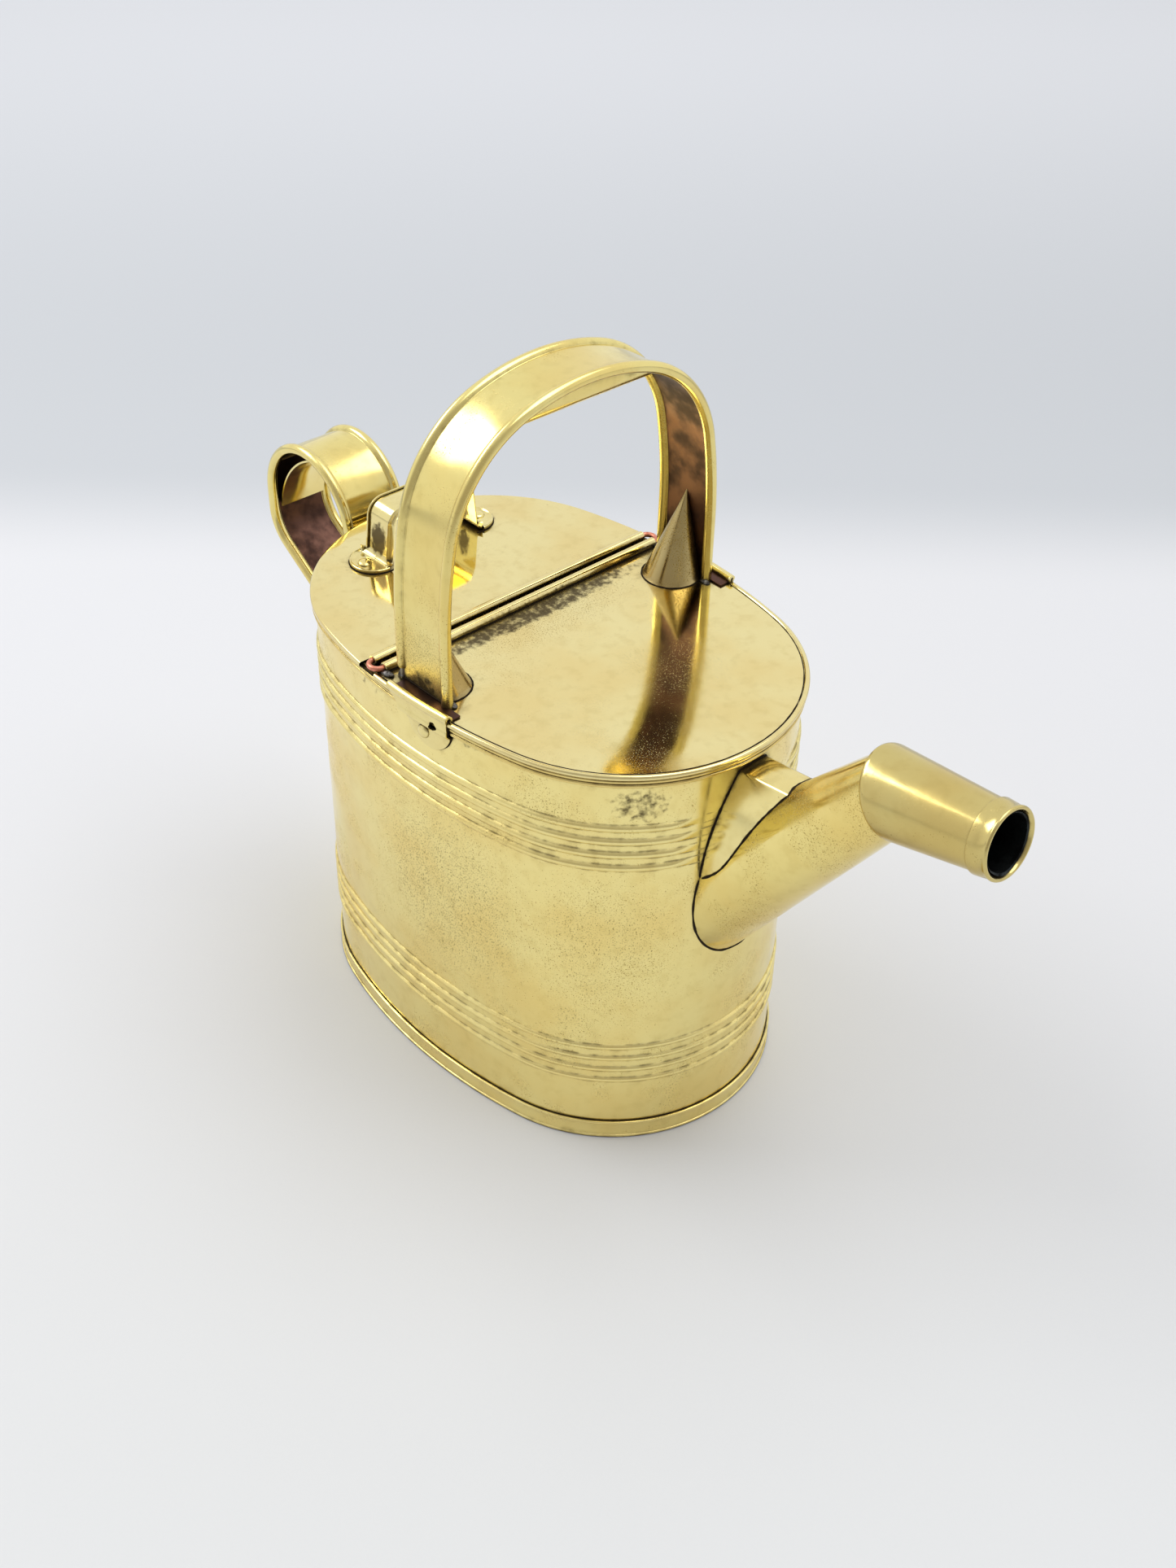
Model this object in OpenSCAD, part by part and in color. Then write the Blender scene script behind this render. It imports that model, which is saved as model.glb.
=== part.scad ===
// Oval brass hot-water and watering can with a hinged half lid.
// The origin is the middle of the can on the table, +X points to the spout and +Z is up.

/* [Body] */
// Half of the body's length, to the outside of the sheet
half_len = 106; // [100:0.5:128]
// Half of the body's width, to the outside of the sheet
half_wid = 72.4; // [70:0.2:76]
// Radius of the two round ends of the oval
end_r = 67.6; // [60:0.2:68.5]
// Height from the table to the face of the top plate
body_h = 184; // [150:1:224]
// Thickness of the body sheet
wall_t = 0.8; // [0.6:0.1:1.2]
// Height of the strip round the foot
foot_h = 8.8; // [6:0.2:12]
// How far the foot strip stands out
foot_out = 1.3; // [1.1:0.1:2]
// Height of the bottom's turned-up edge
base_lip = 5; // [3:0.5:8]

/* [Beads] */
// Number of ring beads in each group
bead_count = 4; // [1:1:5]
// Distance from one bead to the next
bead_pitch = 6; // [5:0.1:7]
// Height of the lowest bead above the table
low_bead_z = 32.7; // [20:0.1:50]
// Distance from the top plate's face down to the highest bead
high_bead_drop = 24; // [16:0.5:40]
// Radius of the beads in the upper group
high_bead_r = 1.7; // [1:0.1:2]
// Radius of the beads in the lower group
low_bead_r = 1.4; // [1:0.1:2]

/* [Top] */
// Thickness of the top plate and the lid
plate_t = 0.8; // [0.6:0.1:1.2]
// Radius of the rolled edge on the top plate
edge_roll_r = 1.1; // [0.9:0.1:1.4]
// Thickness of the rim band
rim_out = 1.6; // [1.2:0.1:2]
// Height of the rim band
rim_h = 3.4; // [2.5:0.1:6]
// Gap under the closed lid
lid_gap = 0.3; // [0.3:0.05:0.6]
// Depth of the lid's turned-down edge
lid_lip = 1.6; // [1.2:0.1:2]

/* [Hinge] */
// Distance of the hinge line behind the middle of the can
hinge_back = 22; // [16:0.5:32]
// Radius of the hinge wire
hinge_wire_r = 1.1; // [0.8:0.05:1.4]
// Running clearance between the hinge wire and the lid's curl
hinge_clearance = 0.05; // [0.02:0.01:0.1]
// Distance between the lid's curl and the top plate's curl, centre to centre
curl_pitch = 6.5; // [5.6:0.1:8]
// How far each curl stops short of the rim
curl_inset = 2.1; // [1.6:0.1:5]

/* [Main handle] */
// Distance of the handle's middle in front of the middle of the can
handle_x = 5.1; // [2:0.1:10]
// Width of the handle strap over its rolled edges
handle_w = 29.4; // [24:0.2:34]
// Distance from the can's middle to the middle of each leg's sheet
handle_half_span = 66.1; // [64:0.1:67]
// Height of the crown's sheet above the top plate
handle_rise = 106.8; // [96:0.2:136]
// Radius of the flat arc over the crown
crown_r = 91; // [80:1:110]
// Radius of the shoulders
shoulder_r = 50.3; // [45:0.1:54]
// Radius of the slight bow at the top of each leg
bow_r = 192; // [150:1:240]
// Angle of each bow
bow_angle = 11; // [6:0.5:12]
// Thickness of the strap sheet, for both handles
strap_t = 0.9; // [0.7:0.1:1.2]
// Outer radius of the rolled edges, for both handles
strap_roll_r = 2.2; // [1.9:0.1:2.6]
// Radius of the wires inside the rolled edges
edge_wire_r = 1.25; // [0.9:0.05:1.3]
// Clearance round the wires inside the rolled edges
edge_wire_clearance = 0.05; // [0.02:0.01:0.1]
// Distance from the crown's sheet down to the underside of the grip
grip_drop = 12.4; // [8:0.2:16]
// Radius of the cone at the foot of each leg
cone_r = 11.5; // [9:0.5:13]
// Height of each cone
cone_h = 36; // [28:1:44]
// Distance from the leg's inner face to the middle of the cone's foot
cone_in = 6.3; // [5:0.1:8]

/* [Lugs] */
// Distance of the lug's round lobe in front of the can's middle
lug_x = 14.5; // [12:0.5:16]
// Radius of the lug's lobe
lug_r = 11.5; // [9:0.5:13]
// Width of the lug at the rim
lug_w = 32; // [28:0.5:36]
// Distance from the top plate's face down to the middle of the lobe
lug_drop = 4.4; // [3:0.2:8]
// Thickness of the lug plate
lug_t = 0.9; // [0.7:0.1:1.2]
// Radius of the lug's rolled upper edge
lug_roll_r = 1.7; // [1.3:0.1:2]

/* [Lid handle] */
// Distance of the lid handle behind the hinge line
knob_back = 57; // [50:0.5:62]
// Width of the lid handle's strip
knob_w = 20; // [16:0.5:24]
// Height of the lid handle above the lid
knob_h = 23; // [18:0.5:28]
// Half of the length over the legs, to the middle of the sheet
knob_half = 22; // [20:0.5:24]
// Bend radius at the top corners
knob_bend_r = 6; // [4:0.5:8]
// Thickness of the strip
knob_t = 1; // [0.8:0.1:1.4]
// Radius of the rolled edges on the strip
knob_roll_r = 1.5; // [1.1:0.1:1.8]
// Distance from the can's middle line to the end of each foot
knob_foot = 34.5; // [33:0.5:37]

/* [Rivets] */
// Radius of every rivet's shank
rivet_r = 1.5; // [1.2:0.1:2]
// Radius of every rivet's head
rivet_head_r = 2.8; // [2.3:0.1:3.4]
// Height of every rivet's head
rivet_head_h = 1.3; // [0.9:0.1:1.8]

/* [Rear handle] */
// Width of the rear handle's strap over its rolled edges
rear_w = 31.2; // [26:0.2:34]
// Distance from the body's rear end to the middle of the loop
loop_out = 33; // [31:0.5:38]
// Distance from the top plate's face down to the middle of the loop
loop_drop = 6.5; // [2:0.5:10]
// Radius of the loop's crown, to the middle of the sheet
loop_r = 27.3; // [25:0.1:31]
// Lean of the upper leg away from the body
loop_lean = 12; // [8:1:15]
// Length of the upper leg, trimmed where it meets the body
upper_leg = 34; // [30:1:40]
// Length of the straight stretch at the back of the loop
back_leg = 9; // [4:0.5:14]
// Bend radius below the back of the loop
heel_r = 18; // [14:0.5:24]
// Angle through which the heel bends
heel_angle = 56; // [50:1:62]
// Length of the lower leg, trimmed where it meets the body
lower_leg = 72; // [66:1:84]
// Depth of the closing plate under the loop's crown
lining_depth = 7; // [5:0.5:9]
// Radius of the closing plate's curve
lining_r = 40; // [36:1:60]
// Thickness of the closing plate and the grip sheet
lining_t = 0.8; // [0.6:0.1:1.1]

/* [Spout] */
// Height at which the spout's centre line leaves the body's front end
spout_z = 126.6; // [112:0.2:150]
// Angle at which the tube rises
spout_rise = 50.6; // [46:0.2:55]
// Outer radius of the tube at the body
spout_root_r = 21.4; // [18:0.1:24]
// Radius that the tube loses in each millimetre of length
spout_taper = 0.081; // [0.05:0.001:0.1]
// Length of the tube's centre line from the body to the elbow
spout_len = 92.4; // [80:0.2:112]
// Thickness of the spout sheet
spout_t = 0.8; // [0.6:0.1:1.1]
// Half of the saddle's width where it meets the body
saddle_half = 20.5; // [18:0.1:23]
// Height of the saddle above the tube's centre line at the body
saddle_rise = 50; // [44:0.5:52]
// Radius of the saddle's rounded ridge
saddle_ridge_r = 32; // [30:0.5:40]
// Angle at which the saddle's ridge rises
saddle_tilt = 6; // [0:0.5:10]

/* [Nozzle] */
// Angle at which the nozzle rises
nozzle_rise = 8.3; // [0:0.1:15]
// Outer radius of the nozzle at the elbow
nozzle_r = 15.5; // [14.9:0.1:18]
// Radius that the nozzle loses in each millimetre of length
nozzle_taper = 0.079; // [0.04:0.001:0.1]
// Length of the nozzle's centre line from the elbow to the mouth
nozzle_len = 47.2; // [40:0.2:60]
// Length of the ring round the mouth
ferrule_len = 7.6; // [5:0.2:10]
// Thickness of the ring round the mouth
ferrule_t = 0.9; // [0.6:0.1:1.3]

/* [Hidden] */
$fn = 96;

// Neighbouring stretches of a strap or wire end a hair apart and are held by short tongues.
hair = 0.01;
tongue_len = 1;

// The oval is four arcs that meet without a corner.
end_cx = half_len - end_r;
side_r = (end_cx * end_cx + half_wid * half_wid - end_r * end_r) / (2 * (half_wid - end_r));
side_cy = side_r - half_wid;
join_angle = atan2(side_cy, end_cx);

plate_z = body_h - plate_t;
edge_roll_z = body_h - edge_roll_r / 2;
rim_top = edge_roll_z - edge_roll_r;
wall_foot = 0.6;
band_step = 0.15;
brace_t = 0.8;

// Hinge: both curls lie at one height, and the wire is a long staple through them.
curl_bore_r = hinge_wire_r + hinge_clearance;
curl_r = curl_bore_r + plate_t;
hinge_x = -hinge_back;
lid_z = plate_z + lid_gap;
hinge_z = lid_z + curl_r;
front_curl_x = hinge_x + curl_pitch;
lid_edge = rim_out + 0.3;

// Half of the body's width at a distance along it
function half_width_at(x) = sqrt(side_r * side_r - x * x) - side_cy;
curl_half = half_width_at(hinge_back) - curl_inset;
staple_r = curl_pitch / 2;
staple_tail = 8;

// Main handle: a chain of straight and round stretches, [length, radius, turn]
leg_turn = 90 - bow_angle;
crown_half = asin((handle_half_span - bow_r * (1 - sin(leg_turn)) - shoulder_r * sin(leg_turn))
    / (crown_r - shoulder_r));
shoulder_turn = leg_turn - crown_half;
arch_h = crown_r * (1 - cos(crown_half)) + shoulder_r * (cos(crown_half) - cos(leg_turn))
    + bow_r * cos(leg_turn);
leg_len = handle_rise - arch_h;
handle_path = [[leg_len, 0, 0], [0, bow_r, -bow_angle], [0, shoulder_r, -shoulder_turn],
    [0, crown_r, -2 * crown_half],
    [0, shoulder_r, -shoulder_turn], [0, bow_r, -bow_angle], [leg_len, 0, 0]];
crown_z = body_h + handle_rise;
wire_bore_r = edge_wire_r + edge_wire_clearance;
leg_face = handle_half_span - strap_t / 2;

// Lid handle
knob_x = hinge_x - knob_back;
lid_top = lid_z + plate_t;
knob_foot_bend = 4;
knob_turn = 84;
knob_leg = (knob_h - knob_t - (knob_foot_bend + knob_bend_r) * (1 - cos(knob_turn))) / sin(knob_turn);
knob_lean = knob_leg * cos(knob_turn);
knob_start = knob_half + knob_foot_bend * sin(knob_turn);
knob_top = 2 * (knob_half - knob_lean - knob_bend_r * sin(knob_turn));
knob_path = [[0, knob_foot_bend, knob_turn], [knob_leg, 0, 0], [0, knob_bend_r, -knob_turn],
    [knob_top, 0, 0],
    [0, knob_bend_r, -knob_turn], [knob_leg, 0, 0], [0, knob_foot_bend, knob_turn]];
knob_rivet_y = knob_start + (knob_foot - knob_start) * 0.4;

// Rear handle
loop_x = -half_len - loop_out;
loop_z = body_h - loop_drop;
loop_turn = 180 - loop_lean;
rear_path = [[upper_leg, 0, 0], [0, loop_r, loop_turn], [back_leg, 0, 0], [0, heel_r, heel_angle],
    [lower_leg, 0, 0]];
rear_start_x = loop_x + loop_r * cos(loop_lean) + upper_leg * sin(loop_lean);
rear_start_z = loop_z + loop_r * sin(loop_lean) - upper_leg * cos(loop_lean);

// Spout
elbow_x = half_len + spout_len * cos(spout_rise);
elbow_z = spout_z + spout_len * sin(spout_rise);
mitre_angle = (spout_rise + nozzle_rise) / 2;
root_sink = 30;
trim = 400;

// Lug rivets and the spare hole beside each one
lug_rivet_x = lug_x - 2.6;
lug_rivet_z = body_h - lug_drop - 5.9;
spare_hole_x = lug_x + 4.5;
spare_hole_z = body_h - lug_drop + 0.6;
spare_hole_r = 1.4;

// ---------------------------------------------------------------- helpers

// Flat oval of the body, e larger all round
module oval(e) {
    for (side = [-1, 1]) translate([side * end_cx, 0]) circle(r = end_r + e);
    intersection() {
        translate([0, -side_cy]) circle(r = side_r + e);
        translate([0, side_cy]) circle(r = side_r + e);
        square([2 * (end_cx + (end_r + e) * cos(join_angle)), 3 * half_wid], center = true);
    }
}

// Upright sheet that follows the oval, from one distance outside the body to another
module oval_band(inner, outer, from, to) {
    translate([0, 0, from]) linear_extrude(to - from) difference() {
        oval(outer);
        oval(inner);
    }
}

// Sweeps a bead round the oval. Its X is the distance outside the body sheet, its Y is the height.
// The four lengths end a hair apart and are held by the sheet that they sit on.
module round_the_oval() {
    hair_angle = hair / side_r * 180 / PI;
    for (turn = [0, 180]) rotate(turn) {
        translate([end_cx, 0, 0]) rotate(-join_angle)
            rotate_extrude(angle = 2 * join_angle) translate([end_r, 0]) children();
        translate([0, -side_cy, 0]) rotate(join_angle + hair_angle)
            rotate_extrude(angle = 180 - 2 * (join_angle + hair_angle)) translate([side_r, 0]) children();
    }
}

// Sections of the two groups of beads, standing out of the body sheet
module bead_sections() {
    for (i = [0 : bead_count - 1]) {
        translate([-0.35 * low_bead_r, low_bead_z + bead_pitch * i]) circle(r = low_bead_r);
        translate([-0.35 * high_bead_r, body_h - high_bead_drop - bead_pitch * i]) circle(r = high_bead_r);
    }
}

// Everything inside the outside of the body, for trimming what is soldered to it
module body_outside() {
    linear_extrude(plate_z) oval(0);
    round_the_oval() bead_sections();
}

// One stretch of a strap: [length, radius, turn], where a left turn is positive.
// It ends a little early, by the gap.
module stretch(part, gap) {
    if (part[2] == 0) {
        rotate([90, 0, 90]) linear_extrude(part[0] - gap) children();
    } else {
        side = part[2] > 0 ? 1 : -1;
        angle = abs(part[2]) - gap / part[1] * 180 / PI;
        translate([0, side * part[1], 0]) rotate(side > 0 ? -90 : 90 - angle)
            rotate_extrude(angle = angle) translate([part[1], 0]) scale([-side, 1]) children();
    }
}

// Moves to the end of one stretch
module past(part) {
    side = part[2] >= 0 ? 1 : -1;
    run = part[2] == 0 ? part[0] : part[1] * sin(abs(part[2]));
    rise = side * part[1] * (1 - cos(part[2]));
    translate([run, rise, 0]) rotate(part[2]) children();
}

// Sweeps a section along a chain of stretches. Its X is to the left of the way, its Y is upwards.
// A second, smaller section makes the tongues that hold neighbouring stretches together.
module along(path, gap = hair, i = 0) {
    last = i == len(path) - 1;
    stretch(path[i], last ? 0 : gap) children(0);
    if (!last) past(path[i]) {
        if ($children > 1) tongue() children(1);
        along(path, gap, i + 1) {
            children(0);
            children(1);
        }
    }
}

// Short tongue inside the metal, across the start of a stretch
module tongue() {
    rotate([90, 0, 90]) linear_extrude(tongue_len, center = true) children();
}

// Section of a strap whose edges are rolled round wires
module strap_section(width, sheet, roll_r, bore_r, roll_out = 0) {
    edge = width / 2 - roll_r;
    difference() {
        union() {
            square([sheet, 2 * edge], center = true);
            for (side = [-1, 1]) translate([roll_out, side * edge]) circle(r = roll_r);
        }
        if (bore_r > 0)
            for (side = [-1, 1]) translate([roll_out, side * edge]) circle(r = bore_r);
    }
}

// Puts a chain's start at the left foot of the main handle, going up
module at_handle_foot() {
    translate([handle_x, -handle_half_span, body_h]) rotate([180, -90, 0]) children();
}

// Puts a chain's start at the upper end of the rear handle, going up and back
module at_rear_foot() {
    rotate([90, 0, 0]) translate([rear_start_x, rear_start_z, 0]) rotate(90 + loop_lean) children();
}

// Rivet along +Z with its domed head above z = 0
module rivet(shank) {
    dome_r = (rivet_head_r * rivet_head_r + rivet_head_h * rivet_head_h) / (2 * rivet_head_h);
    translate([0, 0, -shank]) cylinder(r = rivet_r, h = shank);
    intersection() {
        translate([0, 0, rivet_head_h - dome_r]) sphere(r = dome_r);
        cylinder(r = rivet_head_r + 1, h = rivet_head_h + 1);
    }
}

// Long cone along the tube's centre line, with its wall moved in by an amount
module tube_cone(inset) {
    length = root_sink + spout_len + root_sink;
    translate([half_len, 0, spout_z]) rotate([0, 90 - spout_rise, 0]) translate([0, 0, -root_sink])
        cylinder(r1 = spout_root_r + root_sink * spout_taper - inset,
            r2 = spout_root_r - (spout_len + root_sink) * spout_taper - inset, h = length);
}

// Long prism of the saddle, from inside the body forwards
module saddle_prism(inset) {
    translate([half_len, 0, spout_z]) rotate([0, -saddle_tilt, 0]) translate([-root_sink, 0, 0])
        rotate([90, 0, 90]) linear_extrude(root_sink + spout_len) saddle_outline(inset);
}

// Section of the saddle: two long side arcs under a rounded ridge
module saddle_outline(inset) {
    peak = 1.18 * saddle_rise;
    flank_r = (peak * peak + saddle_half * saddle_half) / (2 * saddle_half);
    intersection() {
        translate([flank_r - saddle_half, 0]) circle(r = flank_r - inset);
        translate([saddle_half - flank_r, 0]) circle(r = flank_r - inset);
        translate([0, saddle_rise - saddle_ridge_r]) circle(r = saddle_ridge_r - inset);
    }
}

// Everything past the elbow's mitre plane, moved forwards by an amount
module past_mitre(forward) {
    translate([elbow_x, 0, elbow_z]) rotate([0, -mitre_angle, 0])
        translate([forward, -trim / 2, -trim / 2]) cube(trim);
}

// Cone along the nozzle's centre line between two distances from the elbow
module nozzle_cone(from, to, inset) {
    translate([elbow_x, 0, elbow_z]) rotate([0, 90 - nozzle_rise, 0]) translate([0, 0, from])
        cylinder(r1 = nozzle_r - from * nozzle_taper - inset, r2 = nozzle_r - to * nozzle_taper - inset,
            h = to - from);
}

// The part of the saddle's prism above the tube's centre line
module saddle_space(inset) {
    difference() {
        saddle_prism(inset);
        translate([half_len, 0, spout_z]) rotate([0, -spout_rise, 0])
            translate([-trim / 2, -trim / 2, -trim]) cube(trim);
    }
}

// The hollow of the spout's root, which is also the hole in the body
module root_hollow() {
    tube_cone(spout_t);
    saddle_space(spout_t);
}

// ---------------------------------------------------------------- body

module body_wall() {
    color("khaki") difference() {
        union() {
            oval_band(-wall_t, 0, wall_foot, plate_z);
            round_the_oval() difference() {
                bead_sections();
                translate([-wall_t / 2 - 5, 0]) square([5, body_h]);
            }
        }
        root_hollow();
        at_lug_rivets() translate([0, 0, -5]) cylinder(r = rivet_r, h = 10);
    }
}

module base_plate() {
    color("goldenrod") difference() {
        linear_extrude(base_lip) oval(-wall_t);
        translate([0, 0, plate_t]) linear_extrude(base_lip) oval(-wall_t - plate_t);
    }
}

module foot_band() {
    sheet = foot_out / 2;
    color("darkkhaki") {
        oval_band(0, sheet, 0, foot_h);
        for (z = [sheet + band_step, foot_h - sheet - band_step]) round_the_oval() band_edge(sheet, z);
    }
}

// Half-round edge on the outside of a band
module band_edge(sheet, z) {
    intersection() {
        translate([sheet, z]) circle(r = sheet);
        translate([sheet / 2, z - 2 * sheet]) square([2 * sheet, 4 * sheet]);
    }
}

module rim_band() {
    sheet = rim_out / 2;
    color("darkkhaki") difference() {
        union() {
            oval_band(0, sheet, rim_top - rim_h, rim_top);
            for (z = [rim_top - rim_h + sheet + band_step, rim_top - sheet - band_step])
                round_the_oval() band_edge(sheet, z);
        }
        lug_sweep();
    }
}

// Flat top over the front of the can, with a rolled edge and a rear edge curled into a tube
module top_plate() {
    color("khaki") difference() {
        union() {
            difference() {
                union() {
                    translate([0, 0, plate_z]) linear_extrude(plate_t) oval(edge_roll_r);
                    round_the_oval() translate([edge_roll_r, edge_roll_z]) circle(r = edge_roll_r);
                }
                translate([front_curl_x - trim, -trim / 2, 0]) cube(trim);
                lug_sweep();
            }
            translate([front_curl_x, curl_half, hinge_z]) rotate([90, 0, 0]) cylinder(r = curl_r, h = 2 * curl_half);
            translate([front_curl_x, -curl_half, plate_z])
                cube([0.8 * curl_r, 2 * curl_half, hinge_z - plate_z]);
        }
        translate([front_curl_x, trim / 2, hinge_z]) rotate([90, 0, 0]) cylinder(r = curl_bore_r, h = trim);
    }
}

// ---------------------------------------------------------------- lid and hinge

module lid() {
    notch = 3;
    color("palegoldenrod") difference() {
        union() {
            difference() {
                translate([0, 0, lid_z + plate_t - lid_lip]) linear_extrude(lid_lip) oval(lid_edge);
                translate([0, 0, lid_z - trim]) linear_extrude(trim) oval(lid_edge - plate_t);
                translate([hinge_x, -trim / 2, 0]) cube(trim);
                for (side = [-1, 1])
                    translate([hinge_x - notch, side > 0 ? curl_half - 0.5 : -curl_half + 0.5 - trim, 0])
                        cube(trim);
            }
            translate([hinge_x, curl_half, hinge_z]) rotate([90, 0, 0]) cylinder(r = curl_r, h = 2 * curl_half);
        }
        translate([hinge_x, trim / 2, hinge_z]) rotate([90, 0, 0]) cylinder(r = curl_bore_r, h = trim);
        at_knob_rivets() translate([0, 0, -5]) cylinder(r = rivet_r, h = 10);
    }
}

module hinge_wire() {
    staple = [[staple_tail, 0, 0], [0, staple_r, 180], [2 * curl_half, 0, 0], [0, staple_r, 180],
        [staple_tail, 0, 0]];
    color("sienna") translate([front_curl_x, curl_half - staple_tail, hinge_z]) rotate(90)
        along(staple) {
            circle(r = hinge_wire_r);
            circle(r = hinge_wire_r / 2);
        }
}

module at_knob_rivets() {
    for (side = [-1, 1]) translate([knob_x, side * knob_rivet_y, lid_top + knob_t]) children();
}

module lid_handle() {
    foot_r = knob_w / 2;
    color("gold") difference() {
        union() {
            translate([knob_x, -knob_start, lid_top + knob_t / 2]) rotate([90, 0, 90]) along(knob_path) {
                strap_section(knob_w, knob_t, knob_roll_r, 0, knob_roll_r - 0.4 * knob_t);
                square([knob_t / 2, knob_w / 2], center = true);
            }
            for (turn = [0, 180]) translate([knob_x, 0, lid_top]) rotate(turn) {
                linear_extrude(knob_t) difference() {
                    translate([0, knob_foot - foot_r]) circle(r = foot_r);
                    translate([-trim / 2, knob_start + hair - trim]) square(trim);
                }
                translate([0, knob_start, knob_t / 2]) rotate(90) tongue()
                    square([knob_w / 2, knob_t / 2], center = true);
            }
        }
        at_knob_rivets() translate([0, 0, -5]) cylinder(r = rivet_r, h = 10);
    }
}

module lid_handle_rivets() {
    color("gold") at_knob_rivets() rivet(knob_t + plate_t);
}

// ---------------------------------------------------------------- main handle

module handle_strap() {
    color("darkkhaki") at_handle_foot() along(handle_path) {
        strap_section(handle_w, strap_t, strap_roll_r, wire_bore_r);
        square([strap_t / 2, handle_w / 2], center = true);
    }
}

module handle_wire(side) {
    color("silver") at_handle_foot() along(handle_path) {
        translate([0, side * (handle_w / 2 - strap_roll_r)]) circle(r = edge_wire_r);
        translate([0, side * (handle_w / 2 - strap_roll_r)]) circle(r = edge_wire_r / 2);
    }
}

module handle_wire_front() { handle_wire(1); }

module handle_wire_rear() { handle_wire(-1); }

// Trough that closes the underside of the crown, for the hand
module handle_grip() {
    width = handle_w - 4 * strap_roll_r - 0.6;
    corner = 6;
    depth = 20;
    color("goldenrod") difference() {
        translate([handle_x, 0, crown_z - grip_drop]) rotate([90, 0, 0])
            linear_extrude(2 * handle_half_span, center = true)
                difference() {
                    trough_outline(width, depth, corner);
                    translate([0, lining_t]) trough_outline(width - 2 * lining_t, depth, corner - lining_t);
                }
        beyond_crown();
    }
}

// Everything outside the inner face of the crown and the shoulders
module beyond_crown() {
    shoulder_y = crown_r * sin(crown_half);
    apart = crown_r - shoulder_r;
    difference() {
        translate([0, 0, crown_z - shoulder_r]) cube([trim, 2 * handle_half_span, 4 * shoulder_r], center = true);
        across([0, 0, crown_z - crown_r], crown_r - strap_t / 2);
    }
    for (side = [-1, 1]) difference() {
        translate([-trim / 2, side > 0 ? shoulder_y : -shoulder_y - 2 * shoulder_r, crown_z - 2 * shoulder_r])
            cube([trim, 2 * shoulder_r, 4 * shoulder_r]);
        across([0, side * apart * sin(crown_half), crown_z - crown_r + apart * cos(crown_half)],
            shoulder_r - strap_t / 2);
    }
}

// Long cylinder along X
module across(middle, r) {
    translate(middle) rotate([0, 90, 0]) cylinder(r = r, h = 2 * trim, center = true);
}

module trough_outline(width, depth, corner) {
    translate([-width / 2, corner]) square([width, depth - corner]);
    translate([-width / 2 + corner, 0]) square([width - 2 * corner, depth]);
    for (side = [-1, 1]) translate([side * (width / 2 - corner), corner]) circle(r = corner);
}

// Cone that braces a leg, leaning so that its tip meets the leg's inner face
module handle_cone(side) {
    lean = atan2(cone_in, cone_h);
    length = cone_h / cos(lean);
    color("gold") scale_side(side) difference() {
        translate([handle_x, leg_face, body_h + cone_h]) rotate([180 - lean, 0, 0]) difference() {
            cylinder(r1 = 0, r2 = cone_r * 1.25, h = length * 1.25);
            translate([0, 0, brace_t * 3]) cylinder(r1 = 0, r2 = cone_r * 1.25, h = length * 1.25);
        }
        translate([-trim / 2, leg_face, 0]) cube([trim, trim, body_h + leg_len]);
        difference() {
            translate([-trim / 2, leg_face - 5, body_h + leg_len]) cube([trim, 20, 20]);
            across([0, handle_half_span - bow_r, body_h + leg_len], bow_r - strap_t / 2);
        }
        translate([-trim / 2, -trim / 2, body_h - trim]) cube(trim);
    }
}

// Builds for the left side (+Y) and mirrors for the right
module scale_side(side) {
    if (side > 0) children();
    else mirror([0, 1, 0]) children();
}

module handle_cone_left() { handle_cone(1); }

module handle_cone_right() { handle_cone(-1); }

// ---------------------------------------------------------------- lugs

// Section of a lug: flat on the body, stepped over the rim, rolled along the top edge
module lug_section() {
    over = 2 * edge_roll_r;
    low = body_h - lug_drop - lug_r - 1;
    step_low = rim_top - rim_h - 2.5;
    step_high = rim_top - rim_h - 0.2;
    roll_z = body_h + edge_roll_r / 2 + lug_roll_r - lug_t;
    tab = handle_half_span - half_wid;
    polygon([[0, low], [lug_t, low], [lug_t, step_low], [over + lug_t, step_high], [over + lug_t, roll_z],
        [over, roll_z], [over, step_high + 0.4], [0, step_low + 0.4]]);
    translate([over + lug_t - lug_roll_r, roll_z]) circle(r = lug_roll_r);
    translate([tab, body_h]) square([over - tab, lug_t]);
}

// Lug section swept along both sides of the body, which also cuts the seats in the rim
module lug_sweep() {
    angle = 2 * asin((lug_x + lug_w) / side_r);
    for (turn = [0, 180]) rotate(turn) translate([0, -side_cy, 0]) rotate(90 - angle / 2)
        rotate_extrude(angle = angle) translate([side_r, 0]) lug_section();
}

module lug_outline() {
    top = body_h + 6;
    mid = body_h - lug_drop;
    translate([lug_x, mid]) circle(r = lug_r);
    polygon([[lug_x + lug_r, mid], [lug_x + lug_r, top], [lug_x + lug_r - lug_w, top],
        [lug_x + lug_r - lug_w, body_h - 1], [lug_x - lug_r * 0.9, mid - lug_r * 0.4]]);
}

module handle_lug(side) {
    color("khaki") difference() {
        intersection() {
            lug_sweep();
            scale_side(side) translate([0, trim / 2, 0]) rotate([90, 0, 0]) linear_extrude(trim / 2)
                lug_outline();
        }
        at_lug_rivets() translate([0, 0, -5]) cylinder(r = rivet_r, h = 10);
        scale_side(side) {
            translate([-trim / 2, 0, body_h - 1]) cube([trim, handle_half_span + strap_roll_r, trim]);
            translate([spare_hole_x, half_wid / 2, spare_hole_z]) rotate([-90, 0, 0])
                cylinder(r = spare_hole_r, h = half_wid);
        }
    }
}

module handle_lug_left() { handle_lug(1); }

module handle_lug_right() { handle_lug(-1); }

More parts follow.
